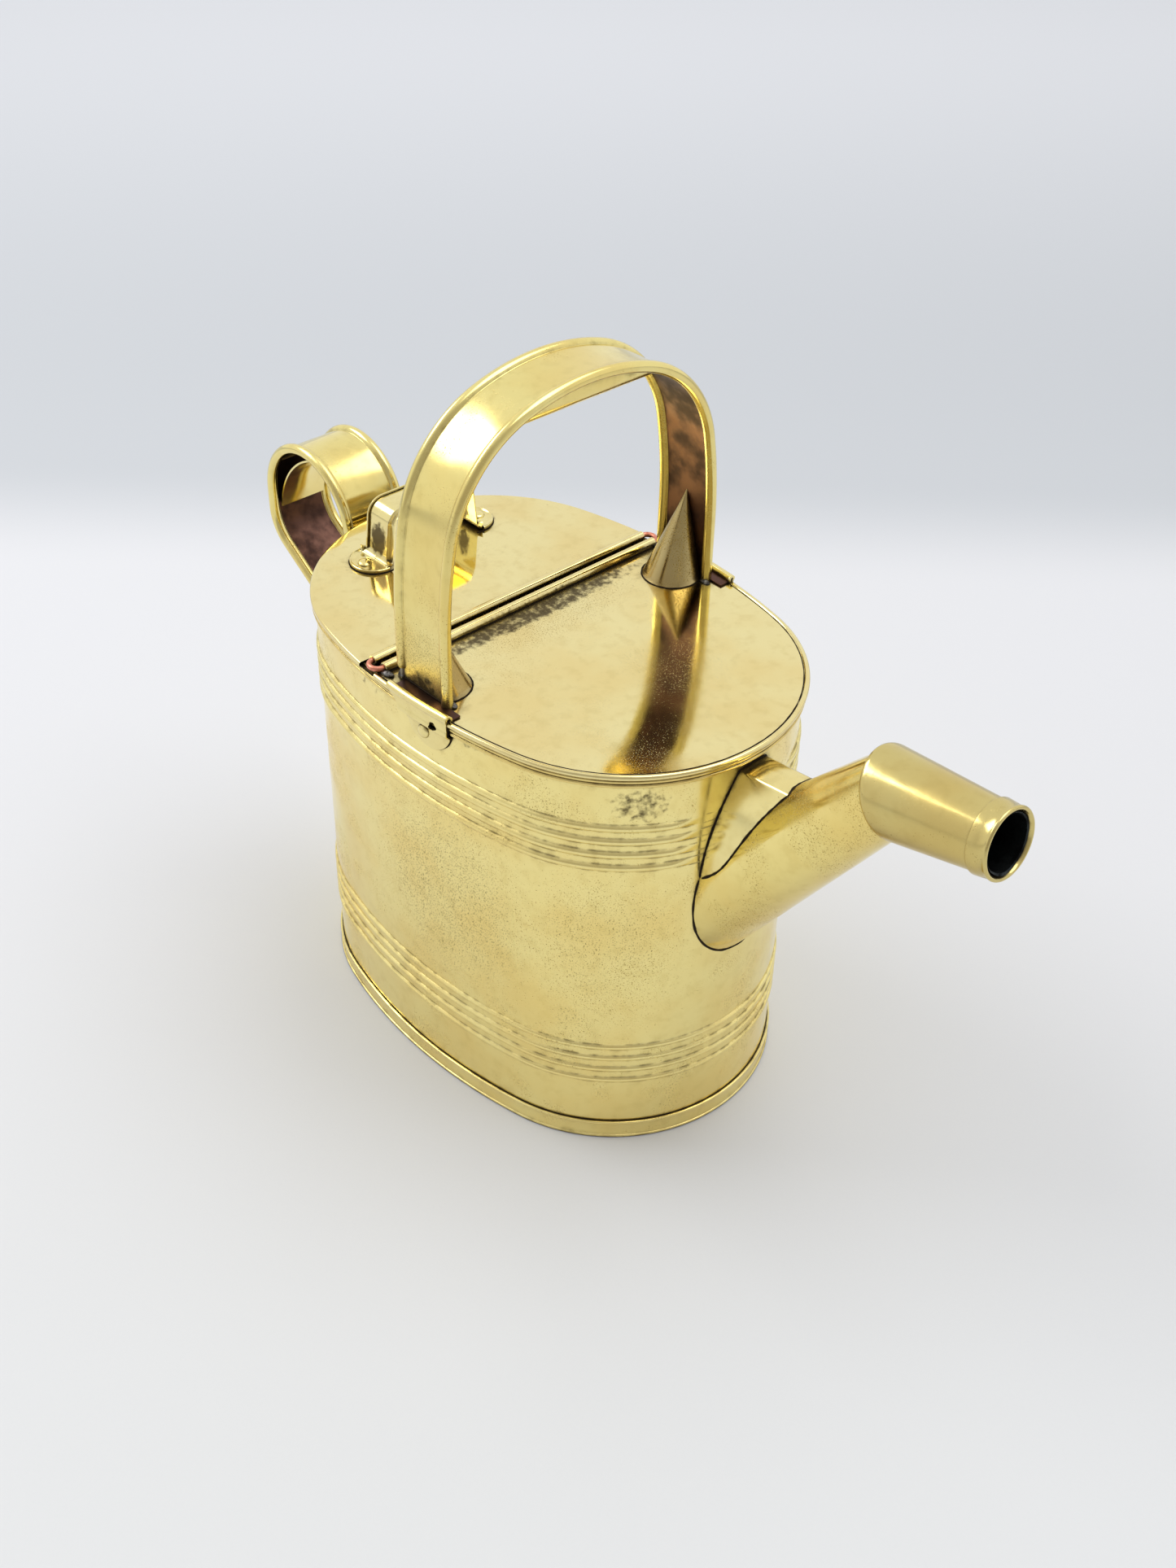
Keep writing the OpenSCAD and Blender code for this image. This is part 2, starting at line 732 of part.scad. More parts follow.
// Puts a rivet's place, square to the body sheet, on both sides
module at_lug_rivets() {
    for (side = [-1, 1]) scale_side(side) translate([0, -side_cy, 0]) rotate(-asin(lug_rivet_x / side_r))
        translate([0, side_r, lug_rivet_z]) rotate([-90, 0, 0]) children();
}

module lug_rivets() {
    color("gold") at_lug_rivets() translate([0, 0, lug_t]) rivet(lug_t + wall_t + 0.6);
}

// ---------------------------------------------------------------- rear handle

module rear_handle_strap() {
    color("darkkhaki") difference() {
        at_rear_foot() along(rear_path) {
            strap_section(rear_w, strap_t, strap_roll_r, wire_bore_r);
            square([strap_t / 2, rear_w / 2], center = true);
        }
        body_outside();
    }
}

module rear_handle_wire(side) {
    color("silver") difference() {
        at_rear_foot() along(rear_path) {
            translate([0, side * (rear_w / 2 - strap_roll_r)]) circle(r = edge_wire_r);
            translate([0, side * (rear_w / 2 - strap_roll_r)]) circle(r = edge_wire_r / 2);
        }
        body_outside();
    }
}

module rear_handle_wire_left() { rear_handle_wire(-1); }

module rear_handle_wire_right() { rear_handle_wire(1); }

// Curved plate that closes the back of the loop's crown, for the hand
module rear_handle_lining() {
    inside_r = loop_r - strap_t / 2;
    back = lining_r - (inside_r - lining_depth);
    width = rear_w - 4 * strap_roll_r;
    color("goldenrod") intersection() {
        translate([loop_x, 0, loop_z]) rotate([90, 0, 0]) cylinder(r = inside_r, h = width, center = true);
        translate([loop_x + back * cos(45), 0, loop_z - back * sin(45)]) rotate([90, 0, 0]) difference() {
            cylinder(r = lining_r, h = width, center = true);
            cylinder(r = lining_r - lining_t, h = width + 2, center = true);
        }
    }
}

// ---------------------------------------------------------------- spout

module spout_tube() {
    color("khaki") difference() {
        tube_cone(0);
        tube_cone(spout_t);
        body_outside();
        past_mitre(spout_t);
        saddle_space(spout_t);
    }
}

module spout_saddle() {
    color("gold") difference() {
        saddle_space(0);
        saddle_prism(spout_t);
        tube_cone(0);
        body_outside();
    }
}

module spout_nozzle() {
    back = -2 * nozzle_r;
    color("gold") difference() {
        intersection() {
            nozzle_cone(back, nozzle_len, 0);
            past_mitre(0);
        }
        intersection() {
            nozzle_cone(back, nozzle_len + 1, spout_t);
            past_mitre(spout_t);
        }
        tube_cone(0);
    }
}

module nozzle_ferrule() {
    start = nozzle_len - ferrule_len;
    color("khaki") difference() {
        nozzle_cone(start, nozzle_len, -ferrule_t);
        nozzle_cone(start - 1, nozzle_len + 1, 0);
    }
}

body_wall();
base_plate();
foot_band();
rim_band();
top_plate();
lid();
hinge_wire();
handle_strap();
handle_wire_front();
handle_wire_rear();
handle_grip();
handle_cone_left();
handle_cone_right();
handle_lug_left();
handle_lug_right();
lug_rivets();
lid_handle();
lid_handle_rivets();
rear_handle_strap();
rear_handle_wire_left();
rear_handle_wire_right();
rear_handle_lining();
spout_tube();
spout_saddle();
spout_nozzle();
nozzle_ferrule();
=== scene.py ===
# %% [markdown]
# # A brass hot-water can
# The real object is an oval can of thin sheet brass that holds nearly five litres, with a strap handle over
# the top, a hinged half lid, a loop handle at the back and a short spout. Each piece is bent from sheet, so
# nearly all of them are sections swept along a line. Curve objects could sweep them, but a grid of points
# that we work out ourselves gives even quads, and even quads are what polished metal needs to reflect
# cleanly.

# %% Load the frame
import math

import bmesh
import bpy
import numpy as np
from mathutils import Matrix, Vector


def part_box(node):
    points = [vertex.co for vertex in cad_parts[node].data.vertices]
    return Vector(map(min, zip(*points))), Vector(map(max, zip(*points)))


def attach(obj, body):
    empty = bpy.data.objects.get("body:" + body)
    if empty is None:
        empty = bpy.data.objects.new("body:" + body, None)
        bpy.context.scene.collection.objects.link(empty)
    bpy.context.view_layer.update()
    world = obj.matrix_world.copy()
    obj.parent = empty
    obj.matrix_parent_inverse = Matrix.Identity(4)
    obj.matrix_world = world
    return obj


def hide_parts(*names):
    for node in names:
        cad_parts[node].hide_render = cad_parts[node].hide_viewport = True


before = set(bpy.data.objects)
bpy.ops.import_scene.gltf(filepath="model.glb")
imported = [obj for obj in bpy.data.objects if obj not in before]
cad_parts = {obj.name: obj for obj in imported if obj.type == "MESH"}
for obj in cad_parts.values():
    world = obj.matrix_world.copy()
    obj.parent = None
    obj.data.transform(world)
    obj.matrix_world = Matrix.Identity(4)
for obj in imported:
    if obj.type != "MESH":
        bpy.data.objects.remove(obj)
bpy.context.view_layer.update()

# %% [markdown]
# ## The driving sizes
# Every place comes from the frame: a helper reads a node's box in millimetres, and the sizes of the oval
# follow from the base plate, which sits just inside the body sheet. The oval of such a can is four arcs
# that meet without a corner, so one radius for the ends fixes the rest.

# %% Sizes of the oval body
MM = 0.001
sheet = 0.8


def span(node):
    """Lowest and highest corner of a frame node, in millimetres."""
    low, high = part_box(node)
    return np.array(low) / MM, np.array(high) / MM


half_len = span("base_plate")[1][0] + sheet
half_wid = span("base_plate")[1][1] + sheet
body_h = span("body_wall")[1][2] + sheet
end_r = 67.6
end_cx = half_len - end_r
side_r = (end_cx**2 + half_wid**2 - end_r**2) / (2 * (half_wid - end_r))
side_cy = side_r - half_wid
join = math.atan2(side_cy, end_cx)
print("oval, mm:", round(2 * half_len, 1), "x", round(2 * half_wid, 1), "height", round(body_h, 1))


# %% Walk round the oval
def level(points, z):
    """Flat points lifted to a height."""
    return np.column_stack([points, np.full(len(points), z)])


def front_line(e, cut, end_steps=150, side_steps=36):
    """Outline in front of x = cut, e outside the body: points and outward directions.
    Each arc leaves its last point to the next one, apart from the third."""
    reach = math.acos(cut / (side_r + e))
    arcs = [((0, side_cy), side_r + e, 2 * math.pi - reach, 2 * math.pi - join, side_steps),
            ((end_cx, 0), end_r + e, -join, join, end_steps),
            ((0, -side_cy), side_r + e, join, reach, side_steps + 1)]
    points = []
    outward = []
    for (cx, cy), r, first, last, steps in arcs:
        turn = np.linspace(first, last, steps, endpoint=cy < 0)
        way = np.stack([np.cos(turn), np.sin(turn)], -1)
        points.append(way * r + (cx, cy))
        outward.append(way)
    return np.concatenate(points), np.concatenate(outward)


def rear_line(e, cut):
    """Outline behind x = cut."""
    points, outward = front_line(e, -cut)
    flip = np.array([-1, 1])
    return points * flip, outward * flip


def whole_line(e):
    """The whole outline, once round."""
    front, ahead = front_line(e, 0)
    back, behind = rear_line(e, 0)
    return np.concatenate([front[:-1], back[::-1][:-1]]), np.concatenate([ahead[:-1], behind[::-1][:-1]])


def outside(points):
    """How far points are outside the body sheet."""
    x = np.abs(points[..., 0])
    y = np.abs(points[..., 1])
    at_end = np.arctan2(y, x - end_cx) < join
    return np.where(at_end, np.hypot(x - end_cx, y) - end_r, np.hypot(x, y + side_cy) - side_r)


print("points round the oval:", len(whole_line(0)[0]))


# %% [markdown]
# ## From points to a piece
# A sheet-metal piece is a grid: rows of points, each row one section. `skin` joins the rows with quads, welds
# points that coincide and turns the faces outwards. `finish` shades it smooth but keeps real corners sharp,
# hangs it on a body of the frame, and hides the frame nodes it stands for.

# %% Skin and finish
def placed(name, data):
    """New object in the scene."""
    made = bpy.data.objects.new(name, data)
    bpy.context.scene.collection.objects.link(made)
    return made


def skin(name, rows, wrap_rows=False, wrap_cols=True, caps=False):
    """Mesh over rows of points in millimetres."""
    rows = np.asarray(rows, float)
    count, across = rows.shape[:2]
    down = np.arange(count if wrap_rows else count - 1)
    along = np.arange(across if wrap_cols else across - 1)
    i, j = np.meshgrid(down, along, indexing="ij")
    i_next = (i + 1) % count
    j_next = (j + 1) % across
    corners = [i * across + j, i * across + j_next, i_next * across + j_next, i_next * across + j]
    faces = np.stack(corners, -1).reshape(-1, 4).tolist()
    if caps:
        faces.append(list(range(across))[::-1])
        faces.append(list(range((count - 1) * across, count * across)))
    mesh = bpy.data.meshes.new(name)
    mesh.from_pydata((rows.reshape(-1, 3) * MM).tolist(), [], faces)
    weld(mesh)
    return placed(name, mesh)


def weld(mesh):
    """Welds coinciding points, drops collapsed faces and turns the rest outwards."""
    bm = bmesh.new()
    bm.from_mesh(mesh)
    bmesh.ops.remove_doubles(bm, verts=bm.verts, dist=0.01 * MM)
    bmesh.ops.dissolve_degenerate(bm, edges=bm.edges, dist=0.002 * MM)
    bmesh.ops.recalc_face_normals(bm, faces=bm.faces)
    bm.to_mesh(mesh)
    bm.free()


def joined(name, *objects):
    """One piece out of several."""
    bm = bmesh.new()
    for obj in objects:
        bm.from_mesh(obj.data)
        bpy.data.objects.remove(obj)
    mesh = bpy.data.meshes.new(name)
    bm.to_mesh(mesh)
    bm.free()
    return placed(name, mesh)


def settle(obj):
    """Applies the modifiers."""
    graph = bpy.context.evaluated_depsgraph_get()
    obj.data = bpy.data.meshes.new_from_object(obj.evaluated_get(graph))
    obj.modifiers.clear()


def cut_away(obj, *tools):
    """Cuts the tools out of a piece, then removes them."""
    for tool in tools:
        cut = obj.modifiers.new("hole", "BOOLEAN")
        cut.object = tool
        cut.solver = "EXACT"
    settle(obj)
    for tool in tools:
        bpy.data.objects.remove(tool)


def finish(obj, material, nodes=(), body="can", corner=38):
    """Material, shading, body, and hides the frame nodes that the piece stands for."""
    obj.data.materials.clear()
    obj.data.materials.append(material)
    obj.data.shade_smooth()
    obj.data.set_sharp_from_angle(angle=math.radians(corner))
    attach(obj, body)
    if nodes:
        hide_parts(*nodes)
    print(obj.name, "faces:", len(obj.data.polygons))


# %% [markdown]
# ## The metals
# Polished old brass is one metal with many small faults: clouds of lacquer and handling, fine pits where the
# surface of the sheet broke, brown tarnish wherever a cloth can't reach, and hand-polishing waves; in the
# crevices the tarnish is darkened further as painted shade.
# Painting these would need an image; instead noise in the object's own coordinates makes them at their real
# size, and ambient occlusion finds the crevices. Uniform values stay on the shader's own sockets, so that
# the export keeps them.

# %% Node helpers
def node(tree, kind, values=None, **fields):
    """Adds a node, sets its fields and its socket values or links."""
    made = tree.nodes.new(kind)
    for key, value in fields.items():
        setattr(made, key, value)
    for key, value in (values or {}).items():
        if isinstance(value, bpy.types.NodeSocket):
            tree.links.new(value, made.inputs[key])
        else:
            made.inputs[key].default_value = value
    return made


def noise(place, size_mm, detail=2.0, stretch=(1, 1, 1)):
    """Noise whose features are about size_mm across."""
    tree = place.id_data
    scale = [s / (size_mm * MM) for s in stretch]
    scaled = node(tree, "ShaderNodeMapping", {"Vector": place, "Scale": scale}).outputs[0]
    return node(tree, "ShaderNodeTexNoise", {"Vector": scaled, "Scale": 1.0, "Detail": detail}).outputs[0]


def ramp(value, low, high, to_low=0.0, to_high=1.0):
    """Smooth step from low to high."""
    made = node(value.id_data, "ShaderNodeMapRange", {0: value, 1: low, 2: high, 3: to_low, 4: to_high})
    made.interpolation_type = "SMOOTHSTEP"
    return made.outputs[0]


def calc(operation, a, b=0.0):
    """Math node; a or b is a socket."""
    tree = a.id_data if isinstance(a, bpy.types.NodeSocket) else b.id_data
    return node(tree, "ShaderNodeMath", {0: a, 1: b}, operation=operation).outputs[0]


def plus(a, b):
    return calc("ADD", a, b)


def minus(a, b):
    return calc("SUBTRACT", a, b)


def times(a, b):
    return calc("MULTIPLY", a, b)


def vector(operation, a, b=(0, 0, 0)):
    """Vector math node."""
    return node(a.id_data, "ShaderNodeVectorMath", {0: a, 1: b}, operation=operation).outputs


def blend(amount, under, over):
    """Mixes two colours."""
    made = node(amount.id_data, "ShaderNodeMix", {0: amount}, data_type="RGBA")
    for slot, colour in ((6, under), (7, over)):
        if isinstance(colour, bpy.types.NodeSocket):
            amount.id_data.links.new(colour, made.inputs[slot])
        else:
            made.inputs[slot].default_value = (*colour, 1)
    return made.outputs[2]


def new_material(name):
    """Empty material, its shader and the object's own coordinates."""
    made = bpy.data.materials.new(name)
    made.use_nodes = True
    place = node(made.node_tree, "ShaderNodeTexCoord").outputs["Object"]
    print("finish", name)
    return made, made.node_tree.nodes["Principled BSDF"], place


def wire_up(material, shader, colour, rough, relief, depth):
    """Metal with a colour, a roughness and a relief whose full height is depth, in millimetres."""
    bump = node(material.node_tree, "ShaderNodeBump",
                {"Height": relief, "Distance": depth * MM, "Strength": 1.0})
    for name, value in (("Base Color", colour), ("Roughness", rough), ("Normal", bump.outputs[0])):
        material.node_tree.links.new(value, shader.inputs[name])
    shader.inputs["Metallic"].default_value = 1.0
    return material


# %% [markdown]
# Wear isn't even. Some places are thick with pits, some have a brown stain, and a thin dark line lies at the
# foot of each bead, painted shade along with dirt. A painted mask would need an image, so each place is an
# ellipsoid given by its centre and its radii, and noise breaks its edge.

# %% Patches and bead grooves
def patch(place, centre, radii, amount):
    """Soft ellipsoid that fades from amount to nothing."""
    off = vector("SUBTRACT", place, [c * MM for c in centre])[0]
    far = vector("LENGTH", vector("DIVIDE", off, [r * MM for r in radii])[0])["Value"]
    return ramp(far, 0.25, 1.0, amount, 0.0)


def bead_foot_shade_and_dirt(place, broken, first, count, pitch, foot):
    """Thin broken dark lines at both feet of a group of beads that starts at a height: painted crease shade
    along with dirt.
    """
    z = node(place.id_data, "ShaderNodeSeparateXYZ", {0: place}).outputs[2]
    up = calc("DIVIDE", minus(z, (first - pitch / 2) * MM), pitch * MM)
    inside = times(calc("GREATER_THAN", up, 0.0), calc("LESS_THAN", up, float(count)))
    away = calc("ABSOLUTE", minus(calc("FRACT", up), 0.5))
    thin = ramp(calc("ABSOLUTE", minus(away, foot / pitch)), 0.02, 0.09, 1.0, 0.0)
    strongest = 0.55
    return times(times(thin, inside), times(ramp(broken, 0.36, 0.66), strongest))


# %% [markdown]
# One function makes every brass finish, because all of them are the same metal with more or less of each
# fault. Its colour starts clean, then takes clouds, pits and tarnish in turn, and its roughness rises with
# each of them. A cloth reaches the open faces only, and the ambient occlusion node knows which faces are
# open: its darkening of the crevices is painted shade laid in with the tarnish.

# %% Brass
# Dark brown of the darkening: real stains and tarnish, with painted shade in the crevices and at the feet of
# the beads.
shade_and_stain_brown = (0.055, 0.035, 0.018)
pit_brown = (0.30, 0.20, 0.05)


def shade(tone, amounts):
    """A colour with each part scaled."""
    return tuple(c * k for c, k in zip(tone, amounts))


def shade_and_tarnish(place, mottle, reach, crevice_darkening, stains, grooves):
    """Darkening: painted shade with tarnish in the crevices within reach millimetres, the real brown stains,
    and painted shade with dirt at the feet of the beads.
    """
    closed = node(place.id_data, "ShaderNodeAmbientOcclusion", {"Distance": reach * MM}, samples=6)
    ragged = plus(minus(1.0, closed.outputs["AO"]), times(minus(mottle, 0.5), 0.5))
    shade_and_dirt = times(ramp(ragged, 0.16, 0.5), crevice_darkening)
    for stain in stains:
        wide = plus(patch(place, *stain), times(minus(noise(place, 2.2, 5), 0.5), 1.3))
        shade_and_dirt = calc("MAXIMUM", shade_and_dirt, ramp(wide, 0.5, 1.05, 0.0, 0.9))
    for groove in grooves:
        shade_and_dirt = calc("MAXIMUM", shade_and_dirt, bead_foot_shade_and_dirt(place, mottle, *groove))
    return shade_and_dirt


def brass(name, tone, polish=0.14, pits=0.5, reach=4.0, waves=0.10, zones=(), stains=(), brushed=0.0,
          satin=0.16, grooves=()):
    """Old brass. zones are thicker pits and stains are brown patches, each a (centre, radii, amount) in
    millimetres. grooves are (height, count, pitch, reach from a bead's middle) of beads whose feet get thin
    dark lines of painted shade and dirt, and reach says how far into a corner the painted crevice shade and
    tarnish reach."""
    metal, shader, place = new_material(name)
    mottle = noise(place, 5, 3)
    cloudy = ramp(noise(place, 34, 3), 0.35, 0.7)
    colour = blend(times(cloudy, 0.7), tone, shade(tone, (0.95, 0.86, 0.72)))
    colour = blend(times(ramp(mottle, 0.45, 0.75), 0.25), colour, shade(tone, (0.74, 0.66, 0.5)))
    # Pits: fine noise cut off high, thicker where a slow noise or a zone says so.
    thick = times(ramp(noise(place, 22, 2), 0.42, 0.66), pits)
    for zone in zones:
        thick = calc("MAXIMUM", thick, patch(place, *zone))
    fine = noise(place, 0.5, 2)
    spots = times(minus(fine, minus(0.72, times(thick, 0.19))), 8.0)
    spots = node(metal.node_tree, "ShaderNodeClamp", {0: spots}).outputs[0]
    colour = blend(times(spots, 0.75), colour, pit_brown)
    # The ambient occlusion part of this darkening is painted crevice shade, laid into the colour with the
    # tarnish.
    shade_and_dirt = shade_and_tarnish(place, mottle, reach, 0.9, stains, grooves)
    colour = blend(shade_and_dirt, colour, shade_and_stain_brown)
    rough = plus(polish, times(cloudy, 0.05))
    for fault, added in ((thick, satin), (spots, 0.30), (shade_and_dirt, 0.35)):
        rough = plus(rough, times(fault, added))
    # Hand-polishing waves, the pits' depth and a faint grain.
    relief = minus(times(noise(place, 16, 2), waves), times(spots, 0.035))
    relief = plus(relief, times(noise(place, 0.5, 2), 0.004))
    if brushed:
        relief = plus(relief, times(noise(place, 0.8, 2, (0.04, 0.04, 1)), brushed))
    return wire_up(metal, shader, colour, rough, relief, 1.0)


# %% Other metals
def plain_metal(name, tone, dark, rough, size=3.0, relief=0.06):
    """A second metal or a tarnish: two tones, rough, slightly lumpy."""
    metal, shader, place = new_material(name)
    patches = noise(place, size, 4)
    colour = blend(ramp(patches, 0.38, 0.66), tone, dark)
    roughness = ramp(patches, 0.3, 0.7, rough, min(1.0, rough + 0.2))
    return wire_up(metal, shader, colour, roughness, patches, relief)


# %% The finishes of this can
both = (-1, 1)
bead_pitch = 6.0
low_beads = [32.7 + bead_pitch * i for i in range(4)]
high_beads = [body_h - 42 + bead_pitch * i for i in range(4)]
# The thin dark lines at the feet of these beads are painted crease shade along with dirt.
bead_grooves = [(low_beads[0], 4, bead_pitch, 1.45), (high_beads[0], 4, bead_pitch, 1.75)]
body_zones = [((20, -74, 100), (75, 40, 75), 0.95), ((80, -45, 100), (50, 50, 70), 0.8),
              ((60, -50, 165), (34, 34, 16), 0.9)]
body_stains = [((90, -40, 170), (20, 20, 14), 0.75), ((30, -72, 178), (60, 10, 5), 0.55),
               ((-20, -72, 176), (20, 10, 8), 0.5)]
hinge_stain = ((-9, 0, body_h), (10, 95, 9), 0.95)
leg_stains = [((5, side * 62, body_h + 1), (21, 15, 14), 1.0) for side in both]
cone_stains = [((5, side * 60, body_h), (18, 18, 9), 0.9) for side in both]
lid_stains = [((-79, side * 30, body_h), (17, 15, 6), 0.6) for side in both]
knob_stains = [((-79, side * 24, body_h + 10), (8.5, 7, 13), 1.4) for side in both]
top_zones = [((-2, 0, body_h), (22, 80, 20), 0.9), ((10, -35, body_h), (34, 34, 20), 0.6)]
strap_zones = [((5, -68, body_h + 10), (30, 20, 34), 1.0)]
flat_tone = (0.88, 0.76, 0.37)
body_brass = brass("body_brass", (0.95, 0.81, 0.34), pits=0.75, zones=body_zones, stains=body_stains,
                   grooves=bead_grooves)
top_stains = [hinge_stain, *leg_stains]
top_brass = brass("top_brass", flat_tone, 0.05, 0.45, 8.0, 0.035, top_zones, top_stains, satin=0.10)
lid_brass = brass("lid_brass", flat_tone, 0.05, 0.30, 7.0, 0.04, stains=lid_stains, satin=0.06)
strap_brass = brass("strap_brass", (0.87, 0.74, 0.29), 0.13, 0.6, 4.5, zones=strap_zones, stains=leg_stains)
knob_brass = brass("knob_brass", (0.88, 0.76, 0.35), 0.09, 0.3, 4.5, stains=knob_stains)
bright_brass = brass("bright_brass", (0.88, 0.75, 0.33), 0.12, 0.3)
# The cones' brass is a darker copy of the same metal: painted shade.
cone_brass_painted_dark = brass("cone_brass_painted_dark", (0.50, 0.39, 0.17), 0.12, 0.9, 4.5, stains=cone_stains)
spout_brass = brass("spout_brass", (0.91, 0.76, 0.29), 0.09, 0.8)
# The nozzle's brass is a darker copy of the same metal: a painted dark reflection.
nozzle_brass_painted_dark = brass("nozzle_brass_painted_dark", (0.66, 0.54, 0.21), 0.13, 0.35, 3.0, brushed=0.012)
rim_brass = brass("rim_brass", (0.86, 0.69, 0.26), 0.10, 0.45)
brown_tarnish = plain_metal("brown_tarnish", (0.11, 0.055, 0.04), (0.05, 0.027, 0.022), 0.30, 9)
# Black of the seams' old flux and of the painted shadow lines along the joints.
flux_and_shadow_black = plain_metal("flux_and_shadow_black", (0.02, 0.015, 0.01), (0.045, 0.03, 0.02), 0.55, 1.5)
copper = plain_metal("copper_wire", (0.80, 0.33, 0.22), (0.55, 0.20, 0.13), 0.32, 2)
steel = plain_metal("edge_wire", (0.45, 0.44, 0.42), (0.20, 0.18, 0.16), 0.45, 1.5)
solder = plain_metal("solder", (0.20, 0.19, 0.18), (0.05, 0.045, 0.04), 0.4, 1.2, 0.2)
# Near-black for the nozzle's bore: its tarnish, darkened to paint the shade inside.
shaded_black_inside = plain_metal("shaded_black_inside", (0.035, 0.04, 0.04), (0.012, 0.012, 0.012), 0.5, 4, 0.15)
print("finishes:", len(bpy.data.materials))

# %% [markdown]
# ## Body wall
# The wall is one sheet bent round the oval, with two groups of four ring beads rolled into it. The beads of
# the upper group die out before the spout, because the rolls can't pass under it. A lathe or screw modifier
# can't follow an oval, so the wall's upright section is carried round the outline, and each column may fade
# its beads.

# %% Section of the wall
low_bead_r = 1.4
high_bead_r = 1.7


def bead_height(z, middle, r):
    """Height of a rolled bead, with soft feet."""
    away = np.abs(z - middle)
    round_part = np.sqrt(np.maximum(r * r - away**2, 0)) - 0.35 * r - 2 * np.maximum(away - r, 0)
    softness = 0.13
    return softness * np.logaddexp(0, round_part / softness)


def stations(first, last, coarse, close_to, near, fine):
    """Heights from first to last, close together near some of them."""
    steps = [np.arange(first, last, coarse), [last]]
    for middle in close_to:
        steps.append(np.arange(middle - near, middle + near, fine))
    return np.unique(np.round(np.concatenate(steps), 2))


wall_foot = 0.6
wall_top = body_h - sheet
heights = stations(wall_foot, wall_top, 5, low_beads + high_beads, 2.7, 0.27)
low_relief = sum(bead_height(heights, z, low_bead_r) for z in low_beads)
high_relief = sum(bead_height(heights, z, high_bead_r) for z in high_beads)
line, outward = whole_line(0)
fade = np.clip((np.abs(line[:, 1]) - 22) / 10, 0, 1)
fade = np.where(line[:, 0] > 0, fade * fade * (3 - 2 * fade), 1)
wall_rows = []
for z, low, high in zip(heights, low_relief, high_relief):
    wall_rows.append(level(line + outward * (low + high * fade)[:, None], z))
for z in (wall_top, 0.5 * body_h, wall_foot):
    wall_rows.append(level(line - outward * sheet, z))
wall = skin("can_wall", wall_rows, wrap_rows=True)
print("wall rows:", len(wall_rows))

# %% [markdown]
# ## Where the spout starts
# The spout's tube is a cone that leaves the wall at a steep angle, with a saddle piece filling the armpit
# above it. Both are trimmed by the wall. Boolean trimming leaves long thin faces that polished metal shows,
# so each line of the cone is followed to the exact place where it meets the wall, by halving the interval.

# %% Spout sizes and the meeting with the wall
spout_z = 126.6
spout_rise = math.radians(50.6)
spout_len = 92.4
spout_r = 21.4
spout_taper = 0.081
nozzle_rise = math.radians(8.3)
side_way = np.array([0, 1, 0])


def slanted(rise):
    """Way along a slope from front to back, and the way square to it."""
    return np.array([math.cos(rise), 0, math.sin(rise)]), np.array([-math.sin(rise), 0, math.cos(rise)])


root = np.array([half_len, 0, spout_z])
tube_way, tube_up = slanted(spout_rise)
elbow = root + tube_way * spout_len
mitre_way = slanted((spout_rise + nozzle_rise) / 2)[0]
print("elbow, mm:", np.round(elbow, 1))


def halve(count, first, last, beyond):
    """For each of count lines, the place from first to last where beyond(place) turns positive."""
    first = first + np.zeros(count)
    last = last + np.zeros(count)
    for _ in range(40):
        middle = (first + last) / 2
        past = beyond(middle) > 0
        last = np.where(past, middle, last)
        first = np.where(past, first, middle)
    return (first + last) / 2


def cone_point(turn, t, start, ways, r):
    """Points t along a cone of radius r there; ways are along it and up."""
    across = np.cos(turn)[..., None] * ways[1] + np.sin(turn)[..., None] * side_way
    return start + ways[0] * t[..., None] + across * r[..., None]


def tube_point(turn, t, shrink=0.0):
    """Points of the tube, t along it from the root."""
    return cone_point(turn, t, root, (tube_way, tube_up), spout_r - spout_taper * t - shrink)


def tube_start(turn, gap=0.0, shrink=0.0):
    """Where each line of the tube leaves the wall."""
    return halve(len(turn), -28.0, 45.0, lambda t: outside(tube_point(turn, t, shrink)) - gap)


def tube_end(turn, shrink=0.0):
    """Where each line of the tube meets the mitre plane."""
    return halve(len(turn), 60.0, 130.0, lambda t: (tube_point(turn, t, shrink) - elbow) @ mitre_way)


# %% The saddle's section
saddle_tilt = math.radians(6)
saddle_way, saddle_up = slanted(saddle_tilt)
saddle_half = 20.5
saddle_rise = 50.0
ridge_r = 32.0


def saddle_section(inset=0.0, steps=90):
    """Two long side arcs under a rounded ridge: (across, up) from one foot over the ridge to the other."""
    peak = 1.18 * saddle_rise
    flank = (peak**2 + saddle_half**2) / (2 * saddle_half)
    side_mid = flank - saddle_half
    up = np.linspace(0, saddle_rise - inset, steps * 4)
    half_flank = np.sqrt((flank - inset) ** 2 - up**2) - side_mid
    ridge = np.maximum((ridge_r - inset) ** 2 - (up - saddle_rise + ridge_r) ** 2, 0)
    half = np.minimum(half_flank, np.sqrt(ridge))
    run = np.concatenate([[0], np.cumsum(np.hypot(np.diff(half), np.diff(up)))])
    even = np.linspace(0, run[-1], steps)
    half = np.interp(even, run, half)
    up = np.interp(even, run, up)
    return np.column_stack([np.concatenate([half, -half[::-1][1:]]), np.concatenate([up, up[::-1][1:]])])


def saddle_point(section, t):
    """Points along the saddle's lines."""
    return (root + section[:, :1] * side_way + section[:, 1:] * saddle_up) + saddle_way * t[..., None]


def outside_tube(points, shrink=0.0):
    """How far points are outside the tube's cone."""
    from_root = points - root
    t = from_root @ tube_way
    r = np.linalg.norm(from_root - t[..., None] * tube_way, axis=-1)
    return r - (spout_r - spout_taper * t - shrink)


saddle_line = saddle_section()
print("saddle points:", len(saddle_line))

# %% [markdown]
# The hole in the wall is the one place where a Boolean is right, because the tube and the saddle cover its
# edge.

